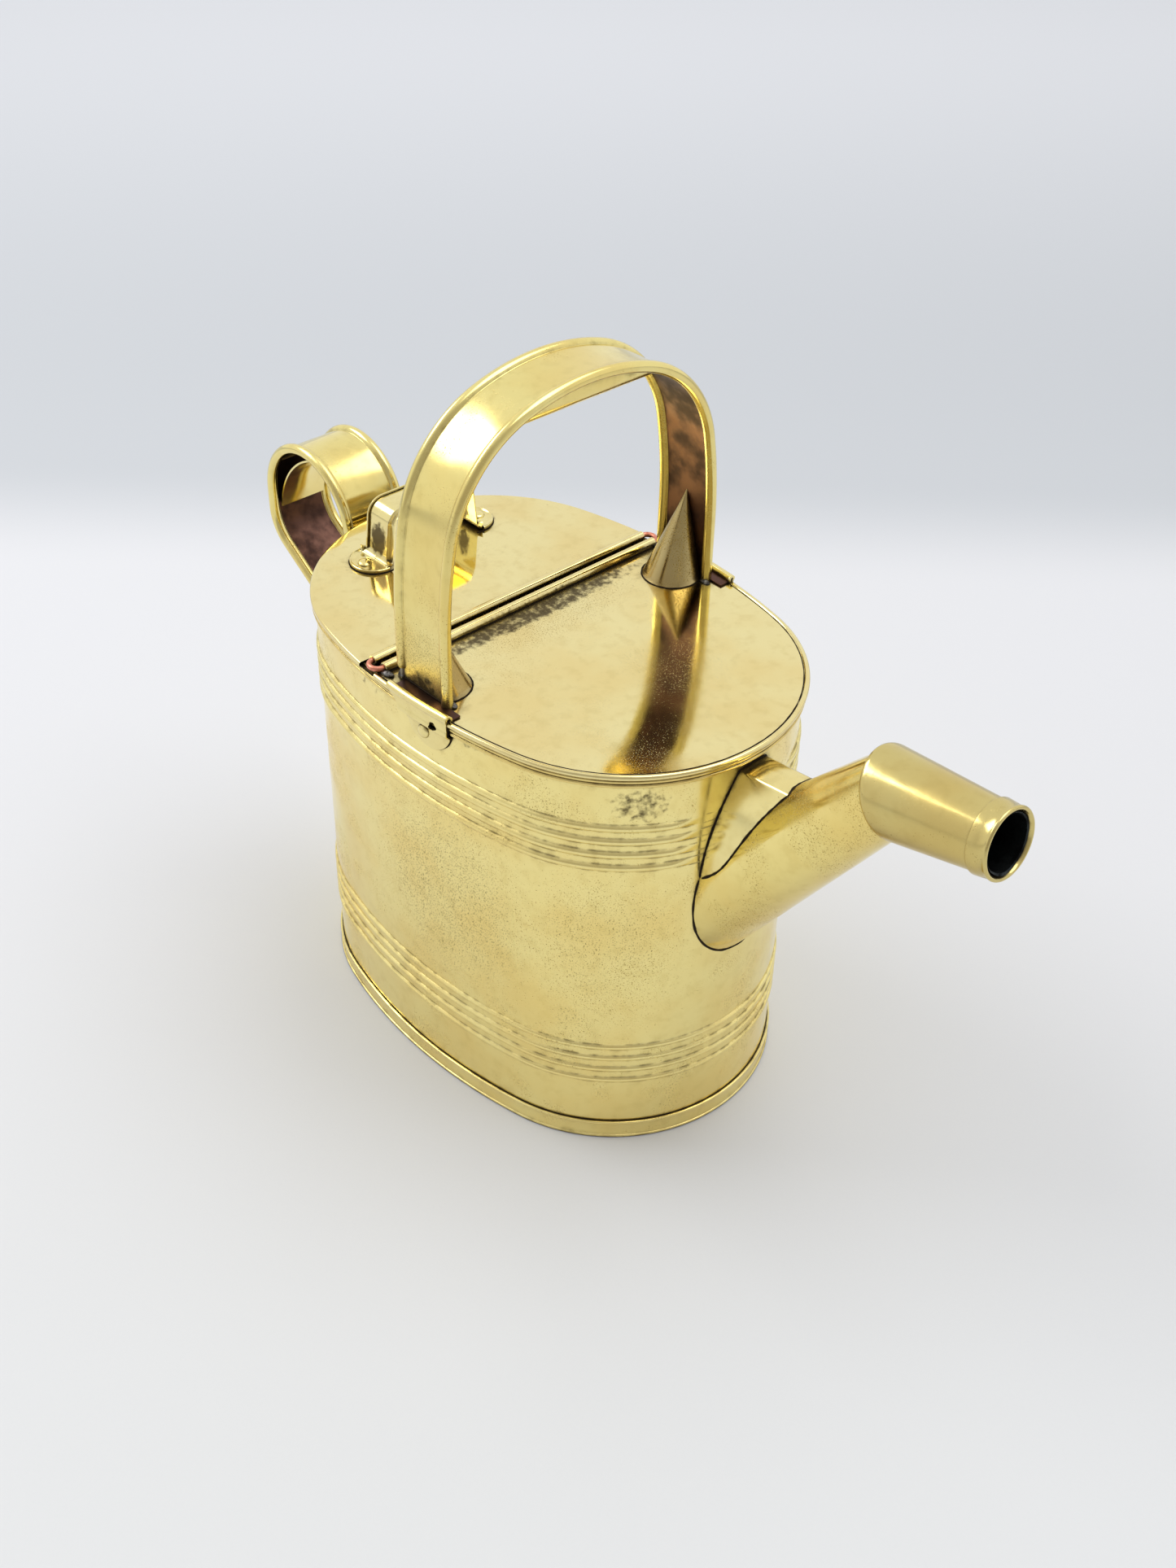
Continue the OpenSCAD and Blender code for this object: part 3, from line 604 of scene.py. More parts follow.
# %% Cut the hole behind the spout
turn = np.linspace(0, 2 * math.pi, 72, endpoint=False)
plug_rows = [tube_point(turn, np.full_like(turn, t), sheet) for t in (-28.0, 20.0)]
tube_plug = skin("tube_plug", plug_rows, caps=True)
wedge = np.concatenate([saddle_section(sheet, 40), [[0, -2.0]]])
saddle_rows = [saddle_point(wedge, np.full(len(wedge), t)) for t in (-22.0, 12.0)]
cut_away(wall, tube_plug, skin("saddle_plug", saddle_rows, caps=True))
finish(wall, body_brass, ["body_wall"])

# %% [markdown]
# ## Bands, base and top
# A narrow strip runs round the foot and another under the top, each with rounded edges. The flat top covers
# the front of the can: its edge is rolled outwards round the rim and its rear edge is curled into a hinge
# tube. The flat itself is filled from the outline towards the middle line, which keeps every face a quad.


# %% Carry a section round an outline
def carried(name, section, outline):
    """Section of (outside, height) pairs carried round a line of the oval."""
    points, ways = outline
    return skin(name, [level(points + ways * out, z) for out, z in section], wrap_rows=True)


def arc(cx, cy, r, first, last, steps=12):
    """Points on an arc, in degrees."""
    turn = np.radians(np.linspace(first, last, steps))
    return np.column_stack([cx + r * np.cos(turn), cy + r * np.sin(turn)])


def band_section(low, high, thick):
    """Flat strip with two half-round edges."""
    r = thick / 2
    return np.concatenate([[(0, low)], arc(r, low + r, r, -90, 75), [(r + 0.02, low + 2.1 * r + 0.3)],
                           [(r + 0.02, high - 2.1 * r - 0.3)], arc(r, high - r, r, -75, 90), [(0, high)]])


foot_top = span("foot_band")[1][2]
rim_low, rim_high = span("rim_band")[0][2], span("rim_band")[1][2]
foot_band = carried("foot_strip", band_section(0, foot_top, 1.3), whole_line(0))
finish(foot_band, body_brass, ["foot_band"])
rim_band = carried("rim_strip", band_section(rim_low, rim_high, 1.6), whole_line(0))
finish(rim_band, rim_brass, ["rim_band"])

# %% Top plate and lid
edge_roll_r = 1.1
edge_roll_z = body_h - edge_roll_r / 2
hinge_x = -22.0
curl_pitch = 6.5
front_curl_x = hinge_x + curl_pitch
curl_bore = 1.15
curl_r = curl_bore + sheet
lid_top = body_h + 0.3
hinge_z = lid_top - sheet + curl_r
half_curl = math.sqrt(side_r**2 - hinge_x**2) - side_cy - 2.1


def plate(name, edge, flats, outline, middle):
    """Plate filled from its outline to the middle line. edge is the section of its rim, top first."""
    points, ways = outline
    top_z, under_z = flats
    spine = np.column_stack([np.clip(points[:, 0], *middle), np.zeros(len(points))])
    steps = np.linspace(1, 0, 9)[:-1] ** 1.6
    rows = []
    for z, rim_out, order in ((top_z, edge[0][0], steps), (under_z, edge[-1][0], steps[::-1])):
        rim = points + ways * rim_out
        rows.append([level(rim + (spine - rim) * s, z) for s in order])
    bent = [level(points + ways * out, z) for out, z in edge]
    return skin(name, rows[0] + bent + rows[1], wrap_cols=False)


edge_roll = arc(edge_roll_r, edge_roll_z, edge_roll_r, 146, -166, 26)
roll_edge = np.concatenate([[(-0.6, body_h), (0.0, body_h + 0.01)], edge_roll, [(-0.4, body_h - sheet)]])
top = plate("top_plate_sheet", roll_edge, (body_h, body_h - sheet), front_line(0, front_curl_x),
            (front_curl_x, end_cx))
print("hinge curls, mm:", round(hinge_x, 1), round(front_curl_x, 1), "height", round(hinge_z, 2))


# %% Hinge curls
def tube_along_y(name, x, z, r, bore, half, steps=28):
    """Tube across the can with slightly rounded ends."""
    ring = np.radians(np.linspace(0, 360, steps, endpoint=False))
    soft = 0.2
    rows = []
    for y, radius in ((-half, bore), (-half, r - soft), (-half + soft, r), (half - soft, r), (half, r - soft),
                      (half, bore)):
        across = x + radius * np.cos(ring)
        rows.append(np.column_stack([across, np.full(steps, y), z + radius * np.sin(ring)]))
    return skin(name, rows, wrap_rows=True)


def strip_box(name, low, high, soften=0.25):
    """Small flat strip with softened edges."""
    corners = [(low[0], low[1]), (high[0], low[1]), (high[0], high[1]), (low[0], high[1])]
    rows = [[(x, y, z) for x, y in corners] for z in (low[2], high[2])]
    made = skin(name, rows, caps=True)
    bevel = made.modifiers.new("soft", "BEVEL")
    bevel.width = soften * MM
    bevel.segments = 3
    settle(made)
    return made


top_curl = tube_along_y("top_curl", front_curl_x, hinge_z, curl_r, curl_bore, half_curl)
top_wing = strip_box("top_wing", (front_curl_x, -half_curl, body_h - sheet), (front_curl_x + 1.4, half_curl,
                     hinge_z - 0.6))
top = joined("top_plate_sheet", top, top_curl, top_wing)
finish(top, top_brass, ["top_plate"])
lid_out = 1.9
lid_back = hinge_x - 3.2
lip_z = lid_top - 1.6
lid_fold = arc(lid_out - 0.9, lid_top - 0.9, 0.9, 90, 0, 9)
lid_lip = [(lid_out, lip_z), (lid_out - sheet, lip_z), (lid_out - sheet, lid_top - sheet)]
lid_edge = np.concatenate([[(lid_out - 1.4, lid_top)], lid_fold, lid_lip])
lid = plate("lid_sheet", lid_edge, (lid_top, lid_top - sheet), rear_line(0, lid_back), (-end_cx, lid_back))
lid_curl = tube_along_y("lid_curl", hinge_x, hinge_z, curl_r, curl_bore, half_curl)
lid_tongue = skin("lid_tongue", [[(x, y, z) for x, z in ((lid_back, lid_top), (hinge_x, lid_top),
                  (hinge_x, lid_top - sheet), (lid_back, lid_top - sheet))]
                  for y in (-half_curl + 0.5, half_curl - 0.5)], caps=True)
lid = joined("lid_sheet", lid, lid_curl, lid_tongue)
finish(lid, lid_brass, ["lid"], body="half_lid")

# %% [markdown]
# ## The hinge wire
# One copper wire runs through both curls like a long staple. Only its bent ends show, as two small hooks at
# the edge of the can. A curve with a round bevel would do, but the same sweep also makes the straps, so it
# is written once here: a chain of straight and round stretches, and a section carried along it.


# %% Sweep a round or flat section along a chain of bends
def chain(path, start, heading, step=1.0, fine_turn=3.0):
    """Stations along straight and round stretches in a plane: place, way and left, as arrays."""
    place = np.array(start, float)
    angle = heading
    stops = [(place.copy(), angle, 0.0)]
    gone = 0.0
    for length, radius, turn_by in path:
        if turn_by == 0:
            count = max(2, int(length / step))
            for i in range(1, count + 1):
                here = place + np.array([math.cos(angle), math.sin(angle)]) * length * i / count
                stops.append((here, angle, gone + length * i / count))
            gone += length
        else:
            side = 1 if turn_by > 0 else -1
            centre = place + radius * side * np.array([-math.sin(angle), math.cos(angle)])
            count = max(6, int(abs(turn_by) / fine_turn))
            for i in range(1, count + 1):
                now = angle + math.radians(turn_by) * i / count
                here = centre - radius * side * np.array([-math.sin(now), math.cos(now)])
                stops.append((here, now, gone + radius * math.radians(abs(turn_by)) * i / count))
            angle += math.radians(turn_by)
            gone += radius * math.radians(abs(turn_by))
        place = stops[-1][0]
    return stops


def swept(name, stops, sections, to_space, caps=True, wrap_cols=True):
    """Sections of (left, across) pairs carried along stations; to_space places (u, v, across)."""
    rows = []
    for (here, angle, _), cut in zip(stops, sections):
        left = np.array([-math.sin(angle), math.cos(angle)])
        rows.append(to_space(here + cut[:, :1] * left, cut[:, 1]))
    return skin(name, rows, wrap_cols=wrap_cols, caps=caps)


hook = 8
hook_bend = (0, curl_pitch / 2, 180)
staple_path = [(hook, 0, 0), hook_bend, (2 * half_curl, 0, 0), hook_bend, (hook, 0, 0)]
staple = chain(staple_path, (front_curl_x, half_curl - hook), math.pi / 2, step=8, fine_turn=8)
wire_r = 1.08
wire_ring = arc(0, 0, wire_r, 0, 337.5, 16)
hinge_wire = swept("hinge_pin", staple, [wire_ring] * len(staple),
                   lambda flat, w: np.column_stack([flat, hinge_z + w]))
finish(hinge_wire, copper, ["hinge_wire"])

# %% Thin dark lines: old flux at the seams, painted shadow along the joints
def bead_line(name, path, r, seed, closed=False):
    """Thin uneven dark line along a path: old flux where it runs on a seam, painted shadow where it runs
    along a joint.
    """
    rng = np.random.default_rng(seed)
    path = np.asarray(path, float)
    ways = np.gradient(path, axis=0)
    ways /= np.maximum(np.linalg.norm(ways, axis=1), 1e-9)[:, None]
    side = np.cross(ways, (0.31, 0.52, 0.79))
    side /= np.linalg.norm(side, axis=1)[:, None]
    other = np.cross(ways, side)
    wobble = np.convolve(rng.uniform(0.6, 1.35, len(path)), [0.25, 0.5, 0.25], "same")
    turn_by = np.radians(np.arange(0, 360, 45))
    rows = [p + r * k * (np.cos(turn_by)[:, None] * s + np.sin(turn_by)[:, None] * o)
            for p, k, s, o in zip(path, wobble, side, other)]
    return skin(name, rows, caps=not closed, wrap_rows=closed)


# %% [markdown]
# ## Main handle
# The bail is a strap whose two edges are rolled round wires, bent to a flat arch with bowed legs. The
# section therefore has a thin web and two round edges, with a small solder fillet between. Near the foot
# the rear edge stops short in a rounded end and the front edge runs down to the rim.

# %% Strap section
strap_roll = 2.2
strap_t = 0.9


def strap_section(width, web, roll, near_roll=None, far_roll=None, lift=0.0, fillet=0.35, steps=16):
    """Closed outline of a strap as (left, across) pairs; each edge may have its own roll radius."""
    half_web = web / 2
    edge = width / 2 - roll
    outline = []
    for side, r in ((1, far_roll or roll), (-1, near_roll or roll)):
        r = max(r, half_web * 1.05)
        f = fillet * min(1.0, r / roll)
        upper = half_web + f - lift
        reach = math.sqrt(max((r + f) ** 2 - upper**2, 0))
        first = math.degrees(math.atan2(upper, -reach))
        blend_in = arc(-reach, half_web + f, f, -90, first - 180, 5)
        last = -90 if lift > 0 else -first
        around = arc(0, lift, r, first, last, steps)
        loop = [blend_in[:-1], around]
        if lift <= 0:
            loop.append((blend_in[:-1] * (1, -1))[::-1])
        part = np.concatenate(loop)
        # Written as (across, left): turn into (left, across) and mirror for the other edge.
        pair = np.column_stack([part[:, 1], side * (edge + part[:, 0])])
        outline.append(pair if side > 0 else pair[::-1])
    return np.concatenate(outline)


handle_low, handle_high = span("handle_strap")
handle_w = handle_high[0] - handle_low[0]
handle_x = (handle_high[0] + handle_low[0]) / 2
crown_z = handle_high[2] - strap_roll
half_span = 66.1
crown_r = 91.0
shoulder_r = 50.3
bow_r = 192.0
bow_deg = 11
bow = math.radians(bow_deg)
foot_run = 7
crown_half = math.asin((half_span - bow_r * (1 - math.cos(bow)) - shoulder_r * math.cos(bow))
                       / (crown_r - shoulder_r))
shoulder = math.pi / 2 - bow - crown_half
arch_h = (crown_r * (1 - math.cos(crown_half)) + shoulder_r * (math.cos(crown_half) - math.sin(bow))
          + bow_r * math.sin(bow))
leg_len = crown_z - body_h - arch_h
half_path = [(foot_run, 0, 0), (leg_len - foot_run, 0, 0), (0, bow_r, -bow_deg),
             (0, shoulder_r, -math.degrees(shoulder))]
handle_path = half_path + [(0, crown_r, -2 * math.degrees(crown_half))] + half_path[::-1]
print("handle leg and arch, mm:", round(leg_len, 1), round(arch_h, 1), "crown at", round(crown_z, 1))

# %% Sweep the strap
stops = chain(handle_path, (-half_span, body_h), math.pi / 2, step=0.5, fine_turn=1.5)
total = stops[-1][2]
rear_end = 4.2
cuts = []
for _, _, gone in stops:
    from_foot = min(gone, total - gone)
    rise = np.clip((from_foot - rear_end) / strap_roll, 0, 1)
    rear_roll = strap_roll * math.sqrt(1 - (1 - rise) ** 2)
    cuts.append(strap_section(handle_w, strap_t, strap_roll, near_roll=max(rear_roll, strap_t / 2)))


def handle_space(flat, w):
    """Places a strip of the main handle: the plane is YZ and the width is X."""
    return np.column_stack([handle_x + w, flat])


handle = swept("bail_strap", stops, cuts, handle_space)
finish(handle, strap_brass, ["handle_strap"], corner=50)


# %% [markdown]
# The underside of the crown is closed by a trough of thin sheet, so that the hand doesn't hold two sharp
# rolls. Its sides follow the inner face of the arch, so each section is cut off where the arch comes down
# to it.


# %% Grip under the crown
def arch_inner(y):
    """Height of the arch's inner face."""
    y = np.abs(y)
    apart = crown_r - shoulder_r
    shoulder_y = apart * math.sin(crown_half)
    shoulder_z = crown_z - crown_r + apart * math.cos(crown_half)
    on_crown = y < crown_r * math.sin(crown_half)
    crown_face = crown_z - crown_r + np.sqrt((crown_r - strap_t / 2) ** 2 - y**2)
    under = (shoulder_r - strap_t / 2) ** 2 - (y - shoulder_y) ** 2
    round_face = shoulder_z + np.sqrt(np.maximum(under, 0))
    return np.where(on_crown, crown_face, round_face)


grip_low, grip_high = span("handle_grip")
grip_half_w = (grip_high[0] - grip_low[0]) / 2 + 0.2
corner_r = 6.0
profile = np.concatenate([[(-grip_half_w, 20), (-grip_half_w, 13)],
                          arc(-grip_half_w + corner_r, corner_r, corner_r, 180, 270, 10),
                          arc(grip_half_w - corner_r, corner_r, corner_r, 270, 360, 10),
                          [(grip_half_w, 13), (grip_half_w, 20)]])
grip_rows = []
for y in np.sin(np.linspace(-math.pi / 2, math.pi / 2, 61)) * grip_high[1]:
    top_z = float(arch_inner(y)) - 0.05
    z = np.minimum(grip_low[2] + profile[:, 1], top_z)
    grip_rows.append(np.column_stack([handle_x + profile[:, 0], np.full(len(profile), y), z]))
grip = skin("grip_trough", grip_rows, wrap_cols=False)
finish(grip, strap_brass, ["handle_grip"], corner=50)

# %% [markdown]
# ## Cones and lugs
# A hollow cone braces each leg on the top plate, its tip soldered to the leg's inner face. Outside, a lug
# wraps over the rim: a round lobe riveted to the body, stepped out over the rim and rolled along its upper
# edge. The lobe is a grid whose rows shorten to follow its outline, and a solidify modifier gives it the
# sheet's thickness.

# %% Cones
cone_r = 11.5
cone_in = 6.3
cone_h = 36.0
leg_face = half_span - strap_t / 2


def brace_cone(name, side):
    """Cone from the leg's inner face down to the plate, flared a little where it is soldered."""
    reach = math.degrees(math.asin(cone_in / cone_r))
    ring = arc(0, 0, cone_r, 180 - reach, 360 + reach, 72)
    apex = np.array([handle_x, side * (leg_face - 0.2), body_h + cone_h])
    rows = []
    for s, flare in ((0.012, 0), (0.3, 0), (0.6, 0), (0.85, 0), (0.95, 0), (0.98, 0.01), (1.0, 0.04)):
        x = handle_x + ring[:, 0] * (s + flare)
        y = leg_face - (cone_in - ring[:, 1]) * s + ring[:, 1] * flare
        y = np.minimum(y, leg_face + 0.2)
        z = np.full(len(ring), body_h + cone_h * (1 - s) + 0.02)
        rows.append(np.column_stack([x, side * y, z]))
    rows.insert(0, np.tile(apex, (len(ring), 1)))
    return skin(name, rows, wrap_cols=False)


for name, side in (("left", 1), ("right", -1)):
    cone = brace_cone(f"cone_{name}", side)
    finish(cone, cone_brass_painted_dark, [f"handle_cone_{name}"], corner=60)

# %% Lugs
lug_x = 14.5
lug_r = 11.5
lug_left = -6.0
lug_mid = body_h - 4.4
lug_t = 0.9
lug_roll = 1.7
lug_over = 2 * edge_roll_r + lug_t
roll_z = body_h + edge_roll_r / 2 + lug_roll - lug_t
step_low = rim_low - 2.5
step_high = rim_low - 0.2


def smooth(t):
    """Smooth step of 0 to 1."""
    t = np.clip(t, 0, 1)
    return t * t * (3 - 2 * t)


def lug_rows():
    """Rows of (outside, height, left end, right end) up the lug and round its rolled edge."""
    low = lug_mid - lug_r
    rows = []
    for z in low + lug_r * (1 - np.cos(np.linspace(0.02, math.pi / 2, 22))):
        half = math.sqrt(max(lug_r**2 - (z - lug_mid) ** 2, 0))
        left = lug_x - half
        lean = smooth((z - (lug_mid - 5)) / 5)
        out = lug_t + (lug_over - lug_t) * smooth((z - step_low) / (step_high - step_low))
        rows.append((out, z, left + (lug_left + 4 - left) * 0.55 * lean, lug_x + half))
    for z in np.linspace(lug_mid, roll_z, 12)[1:]:
        up = (z - lug_mid) / (roll_z - lug_mid)
        left = rows[21][2] + (lug_left - rows[21][2]) * smooth(up)
        sunk = 0.5 * smooth(up / 0.3) * smooth((1 - up) / 0.25)
        rows.append((lug_over - sunk, z, left, lug_x + lug_r - 1.2 * smooth(up) * (1 - up)))
    for a in np.radians(np.linspace(0, 235, 20))[1:]:
        out = lug_over - lug_roll + lug_roll * math.cos(a)
        rows.append((out, roll_z + lug_roll * math.sin(a), lug_left, lug_x + lug_r))
    return rows


def lug(name, side):
    """Lug plate on one side of the can."""
    rows = []
    for out, z, left, right in lug_rows():
        x = np.linspace(left, right, 30)
        y = np.sqrt((side_r + out) ** 2 - x**2) - side_cy
        rows.append(np.column_stack([x, side * y, np.full(30, z)]))
    made = skin(name, rows, wrap_cols=False)
    facing = np.mean([f.normal for f in made.data.polygons[:200]], axis=0)
    if facing[1] * side < 0:
        made.data.flip_normals()
    thick = made.modifiers.new("sheet", "SOLIDIFY")
    thick.thickness = lug_t * MM
    thick.offset = -1
    soft = made.modifiers.new("soft", "BEVEL")
    soft.width = 0.22 * MM
    soft.segments = 2
    soft.limit_method = "ANGLE"
    settle(made)
    return made


def flange(side):
    """Inner flange of the lug, from the rolled edge to the leg."""
    ends = sorted([side * (half_span + strap_t / 2), side * (half_wid + 1.2)])
    return strip_box("flange", (lug_left + 0.5, ends[0], body_h + 0.1),
                     (lug_x + lug_r - 0.5, ends[1], body_h + lug_t))


def spare_punch(side):
    """Ragged tool for the spare hole in a lug."""
    x = lug_x + 4.5
    y = math.sqrt(side_r**2 - x**2) - side_cy
    ring = np.radians(np.linspace(0, 360, 24, endpoint=False))
    ragged = 1.5 + 0.22 * np.cos(3 * ring + 0.6) + 0.15 * np.cos(5 * ring)
    rows = [np.column_stack([x + 1.25 * ragged * np.cos(ring), np.full(24, side * reach),
                             body_h - 3.8 + ragged * np.sin(ring)]) for reach in (y - 3, y + 8)]
    return skin("punch", rows, caps=True)


print("lug, mm:", 2 * lug_r, "wide, rolled edge at", round(roll_z, 2))



# %% Rivets
def dome(name, centre, way, r, h, seed, segments=28):
    """Hammered rivet head standing on a surface, facing way."""
    way = Vector(way).normalized()
    turn_to = Vector((0, 0, 1)).rotation_difference(way).to_matrix()
    rng = np.random.default_rng(seed)
    ring = np.radians(np.linspace(0, 360, segments, endpoint=False))
    shift = rng.uniform(-0.06, 0.06, 2)
    rows = []
    for t in np.radians([0, 10, 25, 40, 55, 70, 82, 90]):
        radius = r * math.cos(t) * (1 + 0.04 * np.cos(2 * ring + shift[0] * 40))
        z = h * math.sin(t) ** 0.8 - 0.05
        flat = np.column_stack([radius * np.cos(ring) + shift[0] * z, radius * np.sin(ring) + shift[1] * z,
                                np.full(segments, z)])
        rows.append(flat @ np.array(turn_to).T + centre)
    rows.insert(0, rows[0] - np.array(way) * 0.5)
    return skin(name, rows, caps=True)


rivet_r = 2.8
rivet_h = 1.3
lug_rivet_x = lug_x - 2.6
lug_rivet_z = body_h - 10.3
heads = []
flanges = []
for name, side in (("left", 1), ("right", -1)):
    lobe = lug(f"lug_{name}", side)
    cut_away(lobe, spare_punch(side))
    finish(lobe, bright_brass, [f"handle_lug_{name}"], corner=45)
    flanges.append(flange(side))
    lean = math.asin(lug_rivet_x / side_r)
    way = np.array([math.sin(lean), side * math.cos(lean), 0])
    seat = np.array([0, -side * side_cy, lug_rivet_z]) + way * (side_r + lug_t)
    heads.append(dome(f"lug_rivet_{name}", seat, way, rivet_r, rivet_h, 3 + side))
lug_heads = joined("lug_rivet_heads", *heads)
finish(lug_heads, bright_brass, ["lug_rivets"])
finish(joined("lug_flanges", *flanges), brown_tarnish)

# %% [markdown]
# ## Lid handle
# A short strip with raised, rolled edges is bent to a square arch. Its feet are round plates with a bright
# turned-up rim, each held by one rivet. The rolled edges die away in the bend above each foot.

# %% Lid handle strip
knob_low, knob_high = span("lid_handle")
knob_x = (knob_low[0] + knob_high[0]) / 2
knob_w = knob_high[0] - knob_low[0]
knob_t = 1.0
knob_roll = 1.5
knob_half = 22.0
knob_foot_bend = 4.0
knob_bend = 6.0
knob_turn = 84.0
knob_h = 23.0
lean = math.radians(knob_turn)
knob_leg = (knob_h - knob_t - (knob_foot_bend + knob_bend) * (1 - math.cos(lean))) / math.sin(lean)
knob_start = knob_half + knob_foot_bend * math.sin(lean)
knob_top = 2 * (knob_half - knob_leg * math.cos(lean) - knob_bend * math.sin(lean))
half_knob = [(0, knob_foot_bend, knob_turn), (knob_leg, 0, 0), (0, knob_bend, -knob_turn)]
knob_path = half_knob + [(knob_top, 0, 0)] + half_knob[::-1]
knob_stops = chain(knob_path, (-knob_start, lid_top + knob_t / 2), 0, step=0.8, fine_turn=5)
knob_total = knob_stops[-1][2]
knob_cuts = []
for _, _, gone in knob_stops:
    rise = smooth((min(gone, knob_total - gone) - 0.3) / 4.5)
    r = 0.56 + (knob_roll - 0.56) * float(rise)
    lift = (r - 0.4 * knob_t) * float(rise) + 1e-3
    knob_cuts.append(strap_section(knob_w, knob_t, knob_roll, r, r, lift, fillet=0.5, steps=14))
knob_strip = swept("knob_strip", knob_stops, knob_cuts, lambda flat, w: np.column_stack([knob_x + w, flat]))
foot_r = knob_w / 2
foot_mid = knob_high[1] - foot_r


def knob_foot(side):
    """Round foot with a turned-up rim."""
    ring = np.radians(np.linspace(-25, 205, 60))
    rows = []
    rim = [(0.0, knob_t), (0.80, knob_t), (0.90, knob_t + 0.05), (0.945, knob_t + 0.45),
           (0.975, knob_t + 0.6), (1.0, knob_t + 0.42), (1.008, knob_t * 0.6), (1.0, 0.02)]
    for s, z in rim:
        x = np.clip(foot_r * s * np.cos(ring), -foot_r, foot_r)
        y = np.maximum(foot_mid + foot_r * s * np.sin(ring), knob_start - 1.5)
        rows.append(level(np.column_stack([knob_x + x, side * y]), lid_top + z))
    return skin("knob_foot", rows, wrap_cols=True)


lid_handle = joined("lid_handle_strip", knob_strip, knob_foot(1), knob_foot(-1))
finish(lid_handle, knob_brass, ["lid_handle"], body="half_lid", corner=48)
rivet_y = span("lid_handle_rivets")[1][1] - rivet_r
knob_heads = [dome("knob_rivet", np.array([knob_x, side * rivet_y, lid_top + knob_t]), (0.1, 0, 1), rivet_r,
                   rivet_h, 8 + side) for side in (1, -1)]
knob_heads = joined("lid_handle_rivet_heads", *knob_heads)
finish(knob_heads, bright_brass, ["lid_handle_rivets"], body="half_lid")

# %% [markdown]
# ## Rear handle
# The loop is the same kind of strap, bent like a question mark: up from the rim, over a round crown, down
# the back and in to the body lower down. Both ends are trimmed by the wall, point by point, and the crown
# is closed inside by a curved plate.

# %% Rear loop
rear_w = span("rear_handle_strap")[1][1] * 2
loop_r = 27.3
loop_x = -half_len - 33.0
loop_z = body_h - 6.5
loop_lean = math.radians(12)
upper_leg = 34.0
crown_turn = 168
drop_run = 9
drop_r = 18
drop_turn = 56
lower_leg = 72
rear_start = (loop_x + loop_r * math.cos(loop_lean) + upper_leg * math.sin(loop_lean),
              loop_z + loop_r * math.sin(loop_lean) - upper_leg * math.cos(loop_lean))
rear_path = [(upper_leg, 0, 0), (0, loop_r, crown_turn), (drop_run, 0, 0), (0, drop_r, drop_turn),
             (lower_leg, 0, 0)]
rear_stops = chain(rear_path, rear_start, math.pi / 2 + loop_lean, step=2, fine_turn=2.5)
rear_cut = strap_section(rear_w, strap_t, strap_roll)


def rear_space(flat, w):
    """Places a strip of the loop: the plane is XZ and the width is Y."""
    return np.column_stack([flat[:, 0], w, flat[:, 1]])


def landed(row, way):
    """Moves points along a way until they lie on the body sheet."""
    gone = halve(len(row), -25.0, 25.0, lambda t: -(outside(row + way * t[:, None]) + 0.1))
    return row + way * gone[:, None]


rear_rows = []
for here, angle, _ in rear_stops:
    left = np.array([-math.sin(angle), math.cos(angle)])
    row = rear_space(here + rear_cut[:, :1] * left, rear_cut[:, 1])
    rear_rows.append((row, np.array([math.cos(angle), 0, math.sin(angle)])))
kept_rows = [row for row, _ in rear_rows if outside(row).min() > 1.0]
first_way = -rear_rows[0][1]
last_way = rear_rows[-1][1]
loop_rows = [landed(kept_rows[0], first_way)] + kept_rows + [landed(kept_rows[-1], last_way)]
loop = skin("rear_loop_strap", loop_rows, caps=True)
finish(loop, strap_brass, ["rear_handle_strap"], corner=50)
print("loop rows:", len(loop_rows))

# %% Plate inside the loop's crown
inside_r = loop_r - strap_t / 2
lining_r = 40.0
lining_back = lining_r - (inside_r - 7)
lining_w = rear_w / 2 - 2 * strap_roll - 0.1
mid_x = loop_x + lining_back * math.cos(math.radians(45))
mid_z = loop_z - lining_back * math.sin(math.radians(45))
cosine = (lining_back**2 + lining_r**2 - inside_r**2) / (2 * lining_back * lining_r)
crossing = math.degrees(math.acos(cosine))
sweep = arc(mid_x, mid_z, lining_r, 135 - crossing, 135 + crossing, 40)
thin = arc(mid_x, mid_z, lining_r - 0.8, 135 + crossing, 135 - crossing, 40)
lining_line = np.concatenate([sweep, thin])
lining_rows = [np.column_stack([lining_line[:, 0], np.full(80, y), lining_line[:, 1]])
               for y in (-lining_w, lining_w)]
lining = skin("rear_loop_lining", lining_rows, caps=True)
finish(lining, bright_brass, ["rear_handle_lining"])

# %% [markdown]
# ## Spout
# Tube, saddle, nozzle and mouth ring. Tube and nozzle are cut at the same slanting plane, where the nozzle's
# back edge is dressed down over the tube. Inside, a near-black sheet stands for the tarnished brass and
# paints the shade of the bore, and a torn edge shows at the mouth.

# %% Tube
turn = np.linspace(0, 2 * math.pi, 121)[:-1]
outer_start = tube_start(turn, -0.1)
outer_end = tube_end(turn) + 1.0
inner_start = tube_start(turn, -0.1, sheet)
inner_end = tube_end(turn, sheet) + 1.0
parts = np.linspace(0, 1, 28)
tube_rows = [tube_point(turn, outer_start + (outer_end - outer_start) * s) for s in parts]
tube_rows += [tube_point(turn, inner_start + (inner_end - inner_start) * s, sheet) for s in parts[::-1]]
tube = skin("spout_cone", tube_rows, wrap_rows=True)
finish(tube, spout_brass, ["spout_tube"])

